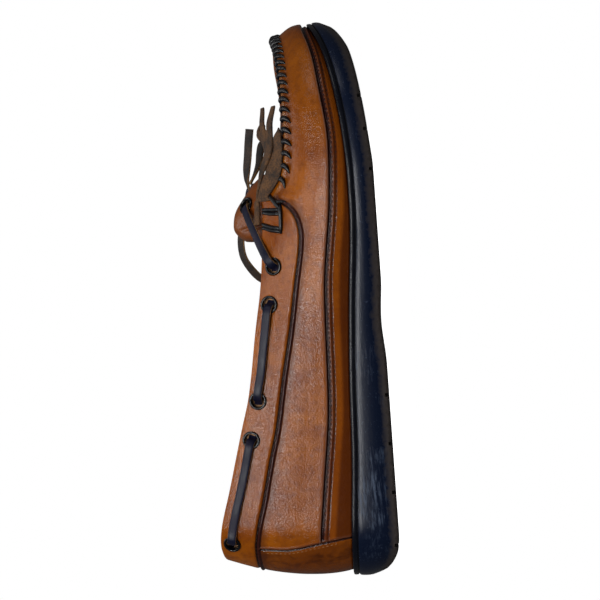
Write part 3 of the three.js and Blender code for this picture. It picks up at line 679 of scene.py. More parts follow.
print("marks kept with each point:", MARKS)


# %% Rows of the grid
def rows_between(length, from_low, from_high, count):
    """Runs of rows in a strip: close rows by its two edges, even rows between them."""
    low, high = np.array(from_low, float), np.array(from_high, float)
    squeeze = np.minimum(1, 0.85 * length / (low[-1] + high[-1] + 1))[:, None]
    first = low[None] * squeeze
    last = length[:, None] - high[::-1][None] * squeeze
    share = np.linspace(0, 1, count + 2)[1:-1][None]
    return np.hstack([first, first[:, -1:] + (last[:, :1] - first[:, -1:]) * share, last])


TOTAL = RUN[:, -1]
band = rows_between(GROOVE_RUN, (0, 0.7), (0.3, 0.55, 0.85, 1.2, 1.6, 1.9, 2.2, 2.6, 3.1, 3.5,
                                          3.9, 4.3, 4.9, 5.8), 5)
wall = rows_between(SEAM_RUN - GROOVE_RUN, (0, 0.3, 0.6, 1.1, 2.0),
                    (0.25, 0.6, 1.0, 1.4, 1.8, 2.2, 2.9, 3.8, 5.0), 15) + GROOVE_RUN[:, None]
above = rows_between(TOTAL - SEAM_RUN, (0, 0.35, 0.7, 1.1, 1.5, 2.1, 2.9, 4.0),
                     (1.0, 1.8, 3.0), 16) + SEAM_RUN[:, None]
OUTER_RUN = np.hstack([band, wall, above])
print("rows on the outside:", OUTER_RUN.shape[1], "columns:", len(TURNS))

# %% [markdown]
# ## Burnished leather
# The upper is full-grain cowhide, drum-dyed and hand-burnished: a warm orange brown under
# a waxed, slightly clouded shine. Seams and edges are burnished nearly burgundy; painted
# shade lies in the seams' grooves and painted highlights on their lips. The seam distances
# that shaped the mesh are kept on its points, so colour follows the same lines.

# %% Masks
def attribute(tree, name):
    return add(tree, "Attribute", {}, attribute_name=name).outputs["Fac"]


def window(tree, value, start, full, fade, end):
    """1 between full and fade, 0 outside start and end."""
    rise = add(tree, "MapRange", {"Value": value, 1: start, 2: full},
               interpolation_type="SMOOTHSTEP")
    fall = add(tree, "MapRange", {"Value": value, 1: fade, 2: end, 3: 1.0, 4: 0.0},
               interpolation_type="SMOOTHSTEP")
    return add(tree, "Math", {0: rise, 1: fall}, operation="MULTIPLY")


def times(tree, a, b):
    return add(tree, "Math", {0: a, 1: b}, operation="MULTIPLY")


def over(tree, mask, below, colour):
    return add(tree, "Mix", {0: mask, 6: below, 7: colour}, data_type="RGBA")


print("a mask is 1 inside its window and 0 outside it")


# %% Burnish, painted shade and painted highlights along the seams
# Mark the distance is read from, its start, full, fade and end in mm, where it applies,
# how strong it is and its colour.
SEAM_TONES = (
    ("groove", (-40.0, -6.5, -5.0, -4.2), "ahead", 0.5, "#7e3c06"),   # low band
    ("groove", (-60.0, -14.0, -9.0, -6.5), "ahead", 0.8, "#421802"),  # painted shade of the tuck
    ("groove", (-5.0, -4.3, -1.8, -1.3), "ahead", 0.75, "#42190c"),   # ridge with its rows
    ("groove", (-1.6, -0.4, 0.3, 3.5), "ahead", 0.4, "#5e2c12"),      # halo above the lap
    ("groove", (-2.0, -1.4, -0.1, 0.3), "ahead", 1.0, "#1f0909"),     # lap's dark cut, painted shade in it
    ("groove", (0.05, 0.3, 0.6, 1.0), "ahead", 0.6, "#7b5a4c"),       # painted highlight on its lip
    ("seam", (-2.1, -1.6, 0.1, 0.45), "quarter", 1.0, "#30120d"),     # rolled collar seam
    ("seam", (-0.2, 0.25, 1.0, 1.7), "quarter", 1.0, "#160705"),      # dark line, painted groove shade
    ("seam", (-6.0, -2.2, -1.8, -1.4), "quarter", 0.6, "#45200c"),    # shade under it
    ("counter", (-0.7, -0.1, 0.6, 1.0), "below", 1.0, "#220b07"),     # counter's cut
    ("counter", (0.6, 0.9, 1.5, 2.1), "below", 0.75, "#5a3322"),      # painted highlight on its edge
    ("seam", (-1.4, -0.3, 0.5, 1.5), "moc", 0.5, "#80603f"),          # painted highlight on plug seam
    ("seam", (-7.0, -3.4, -1.6, -1.0), "moc", 0.5, "#4f240a"),        # shade of the stitches
)


def seam_burnish_and_painted_light(tree, place, colour):
    """Darkens heel counter and toe, burnishes seams, and paints shade and highlights at them."""
    mark = {name: attribute(tree, name) for name in MARKS}
    where = {"moc": mark["moc"]}
    where["quarter"] = add(tree, "Math", {0: 1.0, 1: mark["moc"]}, operation="SUBTRACT")
    where["ahead"] = add(tree, "MapRange", {"Value": mark["counter"], 1: 0.4, 2: 1.6})
    where["below"] = add(tree, "MapRange", {"Value": mark["seam"], 1: -0.6, 2: -1.6})
    heel = add(tree, "MapRange", {"Value": mark["counter"], 1: 0.5, 2: -2.0})
    heel = times(tree, heel, where["below"])
    colour = over(tree, times(tree, heel, 0.6), colour, "#5c2a04")
    streak = add(tree, "TexNoise", {"Vector": place, "Scale": per_mm(11), "Detail": 5.0,
                                    "Distortion": 1.2})
    streak = add(tree, "MapRange", {"Value": streak, 1: 0.5, 2: 0.68, 4: 0.7})
    colour = over(tree, times(tree, heel, streak), colour, "#3a1604")
    toe = add(tree, "MapRange", {"Value": add(tree, "SeparateXYZ", {0: place}).outputs[0],
                                 1: 0.05, 2: 0.15, 4: 0.42}, interpolation_type="SMOOTHSTEP")
    colour = over(tree, toe, colour, "#5c3312")
    for name, span, part, strength, tone in SEAM_TONES:
        mask = times(tree, window(tree, mark[name], *span), where[part])
        colour = over(tree, times(tree, mask, strength), colour, tone)
    return colour


print("seam tones:", len(SEAM_TONES))


# %% Burnished cowhide
DEEP_HIDE, PALE_HIDE = "#733603", "#9a5306"


def burnished(tree, seams=True):
    place = add(tree, "TexCoord", {}).outputs["Object"]
    cloud = add(tree, "TexNoise", {"Vector": place, "Scale": per_mm(38), "Detail": 4.0,
                                   "Roughness": 0.6, "Distortion": 0.4})
    mottle = add(tree, "TexNoise", {"Vector": place, "Scale": per_mm(3.2), "Detail": 5.0})
    light = add(tree, "MapRange", {"Value": cloud, 1: 0.35, 2: 0.7})
    colour = over(tree, light, DEEP_HIDE, PALE_HIDE)
    spots = add(tree, "MapRange", {"Value": mottle, 1: 0.46, 2: 0.74, 4: 0.45})
    colour = over(tree, spots, colour, "#4c2008")
    # The hide's grain is too fine to show, so its pebble is drawn at about 1 mm.
    pebble = add(tree, "TexVoronoi", {"Vector": place, "Scale": per_mm(0.95)},
                 feature="SMOOTH_F1")
    fine = add(tree, "TexNoise", {"Vector": place, "Scale": per_mm(0.45), "Detail": 3.0})
    grain = add(tree, "Math", {0: pebble, 1: 0.9, 2: fine}, operation="MULTIPLY_ADD")
    rough = add(tree, "MapRange", {"Value": cloud, 1: 0.3, 2: 0.7, 3: 0.36, 4: 0.5})
    if not seams:
        colour = over(tree, 0.35, colour, "#3a1c08")
    if seams:
        colour = seam_burnish_and_painted_light(tree, place, colour)
    bump = add(tree, "Bump", {"Height": grain, "Strength": 0.7, "Distance": 0.00014})
    wax = add(tree, "MapRange", {"Value": grain, 1: 0.62, 2: 1.05, 3: 0.62, 4: 0.22})
    return {"Base Color": colour, "Roughness": rough, "Normal": bump, "Coat Normal": bump,
            "Coat Weight": times(tree, wax, 1.0 if seams else 0.7)}


print("the hide's colour goes from", DEEP_HIDE, "to", PALE_HIDE)


# %% Leathers of the upper
# Wax on top of the grain gives fine sparkles over a deep warm brown. The tongue is softer
# and its wax duller.
LEATHER = material("burnished_full_grain_cowhide", burnished, IOR=1.5,
                   **{"Coat Roughness": 0.19, "Coat IOR": 1.5,
                      "Specular IOR Level": 0.03})
PLAIN_LEATHER = material("burnished_cowhide_tongue", lambda tree: burnished(tree, False),
                         IOR=1.5, **{"Coat Roughness": 0.2, "Specular IOR Level": 0.2})


def sock_lining(tree):
    """Vegetable-tanned pigskin: pale tan, matt, with pores and a little wear."""
    place = add(tree, "TexCoord", {}).outputs["Object"]
    cloud = add(tree, "TexNoise", {"Vector": place, "Scale": per_mm(22), "Detail": 5.0})
    mask = add(tree, "MapRange", {"Value": cloud, 1: 0.35, 2: 0.65})
    colour = over(tree, mask, "#9a7048", "#b98d61")
    # Bristle pores stand in small groups, one or two millimetres apart.
    pores = add(tree, "TexVoronoi", {"Vector": place, "Scale": per_mm(1.6)})
    dots = add(tree, "MapRange", {"Value": pores, 1: 0.0, 2: 0.3, 3: 0.5, 4: 0.0})
    colour = over(tree, dots, colour, "#6d4a2c")
    bump = add(tree, "Bump", {"Height": pores, "Strength": 0.35, "Distance": 0.0002})
    return {"Base Color": colour, "Normal": bump}


LINING = material("pigskin_lining", sock_lining, Roughness=0.7)
print("upper leathers:", [leather.name for leather in (LEATHER, PLAIN_LEATHER, LINING)])

# %% [markdown]
# ## The upper
# The whole upper is one closed skin: the outside in rows that follow the seams, a rounded
# edge over the collar, and the inside a leather's thickness away. Cloth simulation would
# lose the seams and the last's shape, so the leather is modelled directly.

# %% The collar's rounded edge
def edge_frame():
    """The last outer row, the leather's normal there and the way up along it."""
    last = OUTER_RUN[:, -1:]
    made, normal, _ = dressed(TURNS, last - 1.0)
    before, _, _ = dressed(TURNS, last - 2.2)
    return made[:, 0], normal[:, 0], unit(made[:, 0] - before[:, 0])


def edge_cap(steps=8):
    made, normal, up = edge_frame()
    middle = made - normal * WALL / 2
    angle = np.linspace(0, np.pi, steps + 1)[1:]
    return [middle + WALL / 2 * (math.cos(a) * normal + 1.1 * math.sin(a) * up) for a in angle]


print("the collar's edge is", WALL, "mm thick")


# %% Build the upper
def set_numbers(mesh, name, values):
    layer = mesh.attributes.new(name, "FLOAT", "POINT")
    layer.data.foreach_set("value", np.asarray(values, np.float32).ravel())


def build_upper():
    run = OUTER_RUN.copy()
    run[:, -1] -= 1.0
    run[:, -2] -= 0.6
    made, _, marks = dressed(TURNS, run)
    made[:, 0, 2] -= 0.6
    inner_run = TOTAL[:, None] * np.linspace(0.93, 0.01, 18)[None]
    v = np.array([np.interp(r, t, FINE_V) for r, t in zip(inner_run, RUN)])
    inside = skin(TURNS[:, None], v) - skin_normal(TURNS[:, None], v) * WALL
    cap = np.stack(edge_cap(), 1)
    whole = np.concatenate([made, cap, inside], 1)
    columns, rows = whole.shape[:2]
    faces = grid_faces(columns, rows, wrap_rows=True, wrap_columns=True)
    slots = ((faces[:, 0] % rows) >= made.shape[1] + cap.shape[1]).astype(int)
    piece = mesh_piece("upper_leather", whole.reshape(-1, 3), faces, [LEATHER, LINING], slots)
    plain = np.full((columns, rows - made.shape[1]), 30.0)
    for name, value in marks.items():
        rest = plain * 0 if name == "moc" else plain
        set_numbers(piece.data, name, np.hstack([value, rest]))
    return piece


upper = build_upper()
print("upper faces:", len(upper.data.polygons))

# %% [markdown]
# ## Holes for the eyelets
# Ten eyelets sit in the collar and two in the tongue. Their places are found on the last
# by their distance from the heel and their height, and a round cutter makes each hole.
# A dark disc could stand in for a hole, but a real cut shows the leather's thickness.

# %% Find the places of the eyelets
def spot_on_skin(side, x, z):
    turn = np.linspace(0.02, 0.48, 700)[:, None]
    turn = turn if side < 0 else 1 - turn
    v = np.linspace(0.45, 1, 420)[None]
    points = skin(turn, v)
    i, j = np.unravel_index(np.argmin(np.hypot(points[..., 0] - x, points[..., 2] - z)),
                            points.shape[:2])
    made, normal, _ = dressed(turn[i], np.array([[np.interp(v[0, j], FINE_V, runs(turn[i])[1][0])]]))
    return {"place": made[0, 0], "normal": normal[0, 0], "turn": turn[i, 0], "v": v[0, j]}


COLLAR_EYELETS = ((167.7, 54.9), (148.7, 58.5), (99.4, 68.1), (79.1, 73.1), (24.4, 87.6))
SPOTS = {side: [spot_on_skin(way, *at) for at in COLLAR_EYELETS]
         for side, way in (("outer", -1), ("inner", 1))}
print("eyelet places on each side:", len(SPOTS["outer"]))


# %% Turned shapes and cuts
HOLE_RADIUS = 3.9


def side_frame(normal):
    """Two directions square to a normal."""
    one = unit(np.cross(normal, [0, 0, 1.0]))
    return one, np.cross(normal, one)


def turned_shape(section, spot, count=40):
    """A lathe-turned ring standing on a spot: section rows are radius and height, in mm."""
    one, two = side_frame(spot["normal"])
    angle = np.linspace(0, 2 * np.pi, count, endpoint=False)
    spoke = np.cos(angle)[:, None] * one + np.sin(angle)[:, None] * two
    section = np.asarray(section, float)
    points = (spot["place"] + spoke[:, None] * section[:, 0][None, :, None]
              + spot["normal"] * section[:, 1][None, :, None])
    return points.reshape(-1, 3), grid_faces(count, len(section), True, True), None


def cut_away(piece, cutter):
    """Takes the cutter's shape out of a piece for good."""
    cut = piece.modifiers.new("cut", "BOOLEAN")
    cut.operation, cut.solver, cut.object = "DIFFERENCE", "EXACT", cutter
    made = piece.evaluated_get(bpy.context.evaluated_depsgraph_get())
    mesh = bpy.data.meshes.new_from_object(made)
    piece.modifiers.clear()
    piece.data = mesh
    bpy.data.objects.remove(cutter)


print("each hole is", 2 * HOLE_RADIUS, "mm across")


# %% Drill the upper
def drill(piece, spots, radius):
    """Cuts round holes through a leather piece and keeps the numbers on its points."""
    parts = []
    for spot in spots:
        section = [[0.01, -9], [radius, -9], [radius, 5], [0.01, 5]]
        points, faces, _ = turned_shape(section, spot, 28)
        parts.append((points, faces.tolist(), [0] * len(faces)))
    points, faces, _ = join_parts(parts)
    cutter = mesh_piece("hole_cutter", points, faces, [LINING])
    outward_faces(cutter)
    numbers = {a.name: np.array([d.value for d in a.data]) for a in piece.data.attributes
               if a.data_type == "FLOAT" and a.domain == "POINT"}
    old = kdtree.KDTree(len(piece.data.vertices))
    for i, vertex in enumerate(piece.data.vertices):
        old.insert(vertex.co, i)
    old.balance()
    cut_away(piece, cutter)
    mesh = piece.data
    near = [old.find(vertex.co)[1] for vertex in mesh.vertices]
    for name, values in numbers.items():
        if name in mesh.attributes:
            mesh.attributes.remove(mesh.attributes[name])
        set_numbers(mesh, name, values[near])
    mesh.polygons.foreach_set("use_smooth", np.full(len(mesh.polygons), True))


def outward_faces(piece):
    """Turns the faces of a closed piece outwards."""
    shape = bmesh.new()
    shape.from_mesh(piece.data)
    bmesh.ops.remove_doubles(shape, verts=shape.verts, dist=1e-7)
    bmesh.ops.recalc_face_normals(shape, faces=shape.faces)
    shape.to_mesh(piece.data)
    shape.free()


outward_faces(upper)
drill(upper, SPOTS["outer"] + SPOTS["inner"], HOLE_RADIUS)
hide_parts("upper")
print("upper with holes:", len(upper.data.polygons), "faces")

# %% [markdown]
# ## The lining
# Inside the collar a soft padded lining hides the lace where it runs between eyelets.
# It is a second closed skin just inside the wall, thick near the top and thin below.
# A thicker wall would be simpler, but its cut edge would look too thick at the collar.

# %% Build the lining
def build_lining():
    down = np.array([1.2, 2, 3, 4.2, 6, 8, 11, 14, 17, 20, 23, 26, 29])
    share = np.linspace(0, 1, 14)[1:]
    first = np.minimum(down[None], TOTAL[:, None] * 0.6)
    rest = first[:, -1:] + (TOTAL[:, None] * 0.985 - first[:, -1:]) * share[None]
    drop = np.hstack([first, rest])
    v = np.array([np.interp(t[-1] - d, t, FINE_V) for d, t in zip(drop, RUN)])
    point, normal = skin(TURNS[:, None], v), skin_normal(TURNS[:, None], v)
    pad = ease(1.2, 9, drop) * ease(31, 19, drop) * (1 - ease(176, 196, TURN_X))[:, None]
    ripple = 0.25 * waves(point, 16, 11)
    near = point - normal * (WALL + 0.04)
    far = point - normal * (WALL + 0.5 + pad * (4.0 + ripple))[..., None]
    whole = np.concatenate([near, far[:, ::-1]], 1)
    columns, rows = whole.shape[:2]
    faces = grid_faces(columns, rows, True, True)
    piece = mesh_piece("collar_lining", whole.reshape(-1, 3), faces, [LINING])
    outward_faces(piece)
    return piece


lining = build_lining()
print("lining faces:", len(lining.data.polygons))

# %% [markdown]
# ## The sole
# The sole is moulded rubber in one piece: a matt lip under the upper, a satin navy wall
# with scuffs that run along it, and a tread with straight grooves across. It could be an
# extruded outline, but its wall swells, so rings of points follow the outline at each
# height, and the grooves are cut afterwards.

# %% Rubber
def rubber(base, worn, scuff_share):
    def build(tree):
        place = add(tree, "TexCoord", {}).outputs["Object"]
        along = add(tree, "Mapping", {"Vector": place, "Scale": (0.09, 0.6, 1.0)})
        cloud = add(tree, "TexNoise", {"Vector": place, "Scale": per_mm(22), "Detail": 4.0})
        scratch = add(tree, "TexNoise", {"Vector": along, "Scale": per_mm(1.3), "Detail": 6.0,
                                         "Roughness": 0.75})
        marks = add(tree, "MapRange", {"Value": scratch, 1: 0.5, 2: 0.66})
        patch = add(tree, "MapRange", {"Value": cloud, 1: 0.46, 2: 0.6})
        heel = window(tree, add(tree, "SeparateXYZ", {0: place}).outputs[0],
                      -0.142, -0.118, -0.075, 0.01)
        scuff = times(tree, times(tree, marks, patch), times(tree, heel, scuff_share))
        dust = add(tree, "TexNoise", {"Vector": place, "Scale": per_mm(1.1), "Detail": 2.0})
        specks = add(tree, "MapRange", {"Value": dust, 1: 0.66, 2: 0.76, 4: 0.4})
        colour = over(tree, scuff, base, worn)
        colour = over(tree, times(tree, specks, scuff_share), colour, worn)
        rise = attribute(tree, "rise")
        grit = add(tree, "TexNoise", {"Vector": place, "Scale": per_mm(2.2), "Detail": 5.0})
        ragged = add(tree, "Math", {0: grit, 1: 5.0, 2: rise}, operation="MULTIPLY_ADD")
        edge = add(tree, "MapRange", {"Value": ragged, 1: 7.8, 2: 4.8})
        rubbed = over(tree, grit, "#1f1b1b", "#544c48")
        colour = over(tree, times(tree, edge, 0.9), colour, rubbed)
        rough = add(tree, "MapRange", {"Value": scuff, 1: 0.0, 2: 0.8, 3: 0.27, 4: 0.6})
        rough = add(tree, "Math", {0: edge, 1: 0.4, 2: rough}, operation="MULTIPLY_ADD")
        # The mould's matt texture is too fine to show, so it is drawn at 0.6 mm.
        fine = add(tree, "TexNoise", {"Vector": place, "Scale": per_mm(0.6), "Detail": 3.0})
        height = add(tree, "Math", {0: fine, 1: scratch}, operation="ADD")
        height = add(tree, "Math", {0: times(tree, edge, grit), 1: 3.0, 2: height},
                     operation="MULTIPLY_ADD")
        bump = add(tree, "Bump", {"Height": height, "Strength": 0.3, "Distance": 0.0002})
        return {"Base Color": colour, "Roughness": rough, "Normal": bump}
    return build


# The wall keeps the mould's satin and takes grey scuffs, the lip is duller, and the tread is
# worn to a dry brown grey.
SOLE_WALL = material("moulded_rubber_satin_navy", rubber("#061024", "#4c5a70", 0.9), IOR=1.5,
                     **{"Specular IOR Level": 0.24})
SOLE_LIP = material("moulded_rubber_matt_lip", rubber("#080a12", "#3c4252", 0.5), IOR=1.5,
                    **{"Specular IOR Level": 0.22})
SOLE_TREAD = material("worn_rubber_tread", rubber("#1c191a", "#5a524e", 0.9), IOR=1.5,
                      **{"Specular IOR Level": 0.25})
SOLE_RUBBERS = [SOLE_WALL, SOLE_LIP, SOLE_TREAD]
print("rubbers:", [one.name for one in SOLE_RUBBERS])


# %% Build the sole
# Rings from the top's middle down the wall to the tread: how far outside the outline, share
# of the way from the tread up to the top, mm added to that, and which rubber is above.
SOLE_RINGS = ((-4.6, 0, 0, 2), (-3.4, 0, 0.15, 2), (-2.4, 0, 0.6, 2), (-1.7, 0.02, 1.3, 2),
              (-1.1, 0.08, 1.4, 0), (-0.6, 0.18, 1.0, 0), (-0.15, 0.3, 0.4, 0), (0.1, 0.45, 0, 0),
              (0.1, 0.55, 0, 0), (0.0, 0.7, -0.6, 0), (-0.2, 0.85, -1.6, 0), (-0.45, 1, -3.5, 0),
              (-0.6, 1, -3.25, 1), (-1.05, 1, -3.0, 1), (-1.05, 1, -2.8, 1), (-0.6, 1, -2.6, 1),
              (-0.45, 1, -2.3, 1), (-0.45, 1, -1.2, 1), (-0.55, 1, -0.55, 1),
              (-0.9, 1, -0.15, 1), (-1.5, 1, 0, 1), (-4.6, 1, 0, 1), (-9, 1, -0.1, 1))


def build_sole(columns=480):
    turn = np.arange(columns) / columns
    rings = []
    for out, share, up, _ in SOLE_RINGS:
        xy = beside(turn, np.full(columns, out))
        top, bottom = sole_top(xy[:, 0]), tread(xy[:, 0])
        rings.append(np.column_stack([xy, bottom + (top - bottom) * share + up]))
    rows = len(rings)
    faces = grid_faces(rows, columns, wrap_columns=True).tolist()
    slots = [ring[3] for ring in SOLE_RINGS[1:] for _ in range(columns)]
    points = [np.concatenate(rings)]
    for lid, slot in ((rings[0], 2), (rings[-1], 1)):
        start = sum(len(p) for p in points)
        share = np.linspace(0, 1, 14)[None, :, None]
        one, two = lid[1:columns // 2, None], lid[:columns // 2:-1, None]
        inner = one + (two - one) * share
        points.append(inner.reshape(-1, 3))
        grid = grid_faces(columns // 2 - 1, 14) + start
        faces += grid.tolist()
        slots += [slot] * len(grid)
        for tip, row in ((lid[0], 0), (lid[columns // 2], columns // 2 - 2)):
            points.append(tip[None])
            corner = sum(len(p) for p in points) - 1
            for k in range(13):
                faces.append([corner, start + row * 14 + k, start + row * 14 + k + 1])
                slots.append(slot)
    piece = mesh_piece("moulded_sole", np.concatenate(points), faces, SOLE_RUBBERS, slots)
    outward_faces(piece)
    made = np.array([v.co for v in piece.data.vertices]) / MM + ORIGIN
    set_numbers(piece.data, "rise", made[:, 2] - tread(made[:, 0]))
    return piece


sole = build_sole()
print("sole faces:", len(sole.data.polygons))


# %% Cut the tread's grooves
def cut_sipes(piece, places=(19, 47.4, 72.7, 98, 213.6, 234.3, 251.7)):
    """Cuts the tread's cross grooves, 2 mm wide and 2.2 mm deep."""
    parts = []
    for x in places:
        z = float(tread(x))
        tilt = (float(tread(x + 2)) - float(tread(x - 2))) / 4
        corners = np.array([[x + sx * w - tilt * d, sy * 80, z + d + tilt * sx * w]
                            for d, w in ((-4, 1.15), (2.2, 0.9))
                            for sx in (-1, 1) for sy in (-1, 1)])
        faces = [[0, 1, 3, 2], [4, 6, 7, 5], [0, 2, 6, 4], [1, 5, 7, 3], [0, 4, 5, 1], [2, 3, 7, 6]]
        parts.append((corners, faces, [2] * 6))
    points, faces, slots = join_parts(parts)
    cutter = mesh_piece("sipe_cutter", points, faces, SOLE_RUBBERS, slots, smooth=False)
    outward_faces(cutter)
    cut_away(piece, cutter)


cut_sipes(sole)
sole.data.set_sharp_from_angle(angle=math.radians(38))
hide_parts("sole")
print("sole faces with its grooves:", len(sole.data.polygons))

# %% [markdown]
# ## Sheets of leather
# The insole, the tongue and the fringed flap are sheets. Each is a grid of middle points
# given a thickness that rounds off at its border, which is how a skived edge looks.
# A Solidify modifier could thicken them too, but it leaves a square border.

# %% A sheet with a rounded border
def sheet_of(middle, normal, thick):
    """Points, faces and slots of a sheet about a grid of middle points, in mm."""
    def reach(axis):
        step = np.linalg.norm(np.diff(middle, axis=axis), axis=2)
        zero = np.zeros_like(np.take(step, [0], axis))
        run = np.concatenate([zero, np.cumsum(step, axis)], axis)
        return np.minimum(run, np.take(run, [-1], axis) - run)
    gap = np.minimum(reach(0), reach(1))
    half_thick = thick / 2 * np.sqrt(1 - (1 - np.clip(gap / (thick / 2), 0, 1)) ** 2)
    front = middle + normal * half_thick[..., None]
    rear = middle - normal * half_thick[..., None]
    rows, columns = middle.shape[:2]
    one = grid_faces(rows, columns)
    two = one[:, ::-1] + rows * columns
    points = np.concatenate([front.reshape(-1, 3), rear.reshape(-1, 3)])
    return points, one.tolist() + two.tolist(), [0] * len(one) + [1] * len(two)


def grid_normal(middle):
    return unit(np.cross(np.gradient(middle, axis=1), np.gradient(middle, axis=0)))


def spread(count, length, close=(0, 0.12, 0.4, 0.8, 1.2)):
    """Shares from 0 to 1 with close places at both ends, given in mm."""
    close = np.array(close) / length
    return np.concatenate([close, np.linspace(close[-1], 1 - close[-1], count + 2)[1:-1],
                           1 - close[::-1]])


print("places along a 20 mm sheet:", len(spread(5, 20)))


# %% Insole
def build_insole():
    turn = 0.5 * spread(60, 300)[1:-1]
    share = spread(20, 70)
    one = beside(turn, np.full(len(turn), -6.5))[:, None]
    two = beside(1 - turn, np.full(len(turn), -6.5))[:, None]
    xy = one + (two - one) * share[None, :, None]
    rim = np.minimum(share, 1 - share)[None] * np.linalg.norm(two - one, axis=2)
    dish = 1.6 * np.exp(-(rim / 7) ** 2) + 0.25 * waves(np.dstack([xy, rim * 0]), 30, 21)
    arch = 2.2 * np.exp(-((xy[..., 0] - 120) / 34) ** 2) * share[None] ** 2
    z = sole_top(xy[..., 0]) + 3.1 + dish + arch
    middle = np.dstack([xy, z])
    normal = grid_normal(middle)
    normal = normal * np.sign(normal[..., 2:3])
    piece = mesh_piece("footbed", *sheet_of(middle, normal, 1.8)[:2], [LINING])
    outward_faces(piece)
    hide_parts("insole")
    return piece


print("footbed faces:", len(build_insole().data.polygons))


# %% Arches of leather
# Tongue and flap along their middle: x, height, half width, drop and sweep of the sides.
TONGUE = np.array([
    (234, 46.2, 13, 1.6, 0), (228, 48.6, 11.6, 2, 0), (223.8, 50.4, 8.4, 1.6, 0),
    (220.8, 54.8, 7, 1, 0), (217, 61.2, 12.8, 3.2, 0), (212.4, 66.4, 16.4, 7, 0),
    (205.2, 72.2, 20.2, 12.6, 0), (197, 76.6, 22.2, 17.4, 0), (190.6, 77.4, 23, 19, 0),
    (186, 74.6, 23, 17, 0), (182.6, 70.4, 20, 13, 0)])
FLAP = np.array([
    (222.4, 58.6, 26.4, -4.2, 22), (226, 57.8, 28.2, -3.6, 16.6), (230, 57.4, 31, 0.8, 10.6),
    (235.4, 58.8, 33, 6.6, 5.6), (242, 61, 32.8, 9.6, 1), (251, 57.6, 30, 8.4, 0)])


def arch(rows, s, q):
    """A point of a leather arch: s runs along its middle, q from its outer to its inner edge."""
    at = np.linspace(0, 1, len(rows))
    x, z, half_width, drop, sweep = (
        curve_through(*zip(at * 100, rows[:, k]), smooth=2.5)(s * 100) for k in range(5))
    bow = np.abs(q) ** 2.3
    return np.stack([x - sweep * np.abs(q) ** 3, centre(THROAT_X) + q * half_width,
                     z - drop * bow], -1)


def arch_grid(rows, s, q):
    """A grid of an arch and its outward normal."""
    middle = arch(rows, s[:, None], q[None])
    normal = grid_normal(middle)
    return middle, normal * np.sign(np.sum(normal * (middle - [205, 0, 30]), -1, keepdims=True))


print("the tongue's top is at", TONGUE[:, 1].max(), "mm")


# %% The tongue
def build_tongue():
    s, q = spread(70, 62), 2 * spread(60, 60) - 1
    middle, normal = arch_grid(TONGUE, s, q)
    at, side = s[:, None], q[None]
    fold = np.exp(-((at - 0.86 - 0.05 * side) / 0.02) ** 2) * ease(0.35, 0.7, np.abs(side))
    dent = np.exp(-((at - 0.78) / 0.05) ** 2) * np.exp(-((np.abs(side) - 0.62) / 0.2) ** 2)
    puff = np.exp(-((at - 0.93) / 0.04) ** 2) * np.exp(-((np.abs(side) - 0.55) / 0.3) ** 2)
    relief = 0.35 * waves(middle, 17, 31) - 1.1 * fold - 0.5 * dent + 0.5 * puff
    middle = middle + normal * (relief - 1.0)[..., None]
    points, faces, slots = sheet_of(middle, normal, 2.0)
    piece = mesh_piece("tongue_leather", points, faces, [PLAIN_LEATHER, LINING], slots)
    outward_faces(piece)
    return piece


def spot_on_tongue(side, x=201.7, z=68.6):
    s, q = np.linspace(0, 1, 400), side * np.linspace(0, 1, 300)
    middle, normal = arch_grid(TONGUE, s, np.sort(q))
    off = np.hypot(middle[..., 0] - x, middle[..., 2] - z)
    i, j = np.unravel_index(np.argmin(off), off.shape)
    return {"place": middle[i, j], "normal": normal[i, j]}


TABS = {"outer": spot_on_tongue(-1), "inner": spot_on_tongue(1)}
tongue = build_tongue()
drill(tongue, list(TABS.values()), HOLE_RADIUS)
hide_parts("tongue")
print("tongue faces:", len(tongue.data.polygons))

# %% [markdown]
# ## The fringed flap
# A flap of brown suede lies over the plug and is cut into strips that curl up and apart.
# One sheet with cuts would need cloth to part the strips, so the band and every strip are
# sheets of their own, joined into one piece.

# %% The flap's skirts and tails
# Split cowhide dressed with oil: matt, mottled, darker where it was handled.
SUEDE = material("brown_oiled_suede", raw_leather("#593a1c", "#170e08"), Roughness=0.85)
# How far each strip of the fringe curls up at its end, and how much longer it is, in mm.
LIFTS = (-0.6, 3.2, 0.5, 1.3, 0.2, 1.6, -0.4, 1.6, 0.2, 2.4, -0.6)
REACHES = (1.5, -1.5, -8, -6.5, -8.5, -7, -9, -7.5, -8, -5, -7)


def wing(side):
    """The skirt of the flap that lies flat on the plug beside the throat."""
    turn = np.arccos(1 - 2 * (200.6 + 44.4 * spread(36, 44)) / LENGTH) / (2 * np.pi)
    turn = turn if side < 0 else (1 - turn)[::-1]
    x = outline(turn)[:, 0]
    low = around(SEAM_RUN, turn) + 2.0 + 1.4 * ease(215, 206, x) + 3 * ease(236, 246, x)
    top = np.minimum(around(TOTAL, turn) - 0.4, low + 15)
    run = low[:, None] + (top - low)[:, None] * spread(14, 14, (0, 0.15, 0.45, 0.9))[None]
    made, normal, _ = dressed(turn, run)
    lift = 1.0 + 2.2 * ease(228, 246, x)[:, None] + 0.35 * waves(made * [0.4, 1, 1], 5, 43)
    return sheet_of(made + normal * lift[..., None], normal, 1.4)


print("strips in the fringe:", len(LIFTS))


def throat_binding(side):
    """The narrow tail of the flap that binds the throat's edge beside the tongue."""
    turn = np.arccos(1 - 2 * np.linspace(187.5, 207, 28) / LENGTH) / (2 * np.pi)
    turn = turn if side < 0 else 1 - turn
    edge, way = skin(turn, np.ones(28)), skin_normal(turn, np.full(28, 0.96))
    rise = unit(edge - skin(turn, np.full(28, 0.96)))
    return lace_mesh(np.hstack([edge + way * 1.1 + rise * 1.1, way]), width=0.8, wave=0.05)


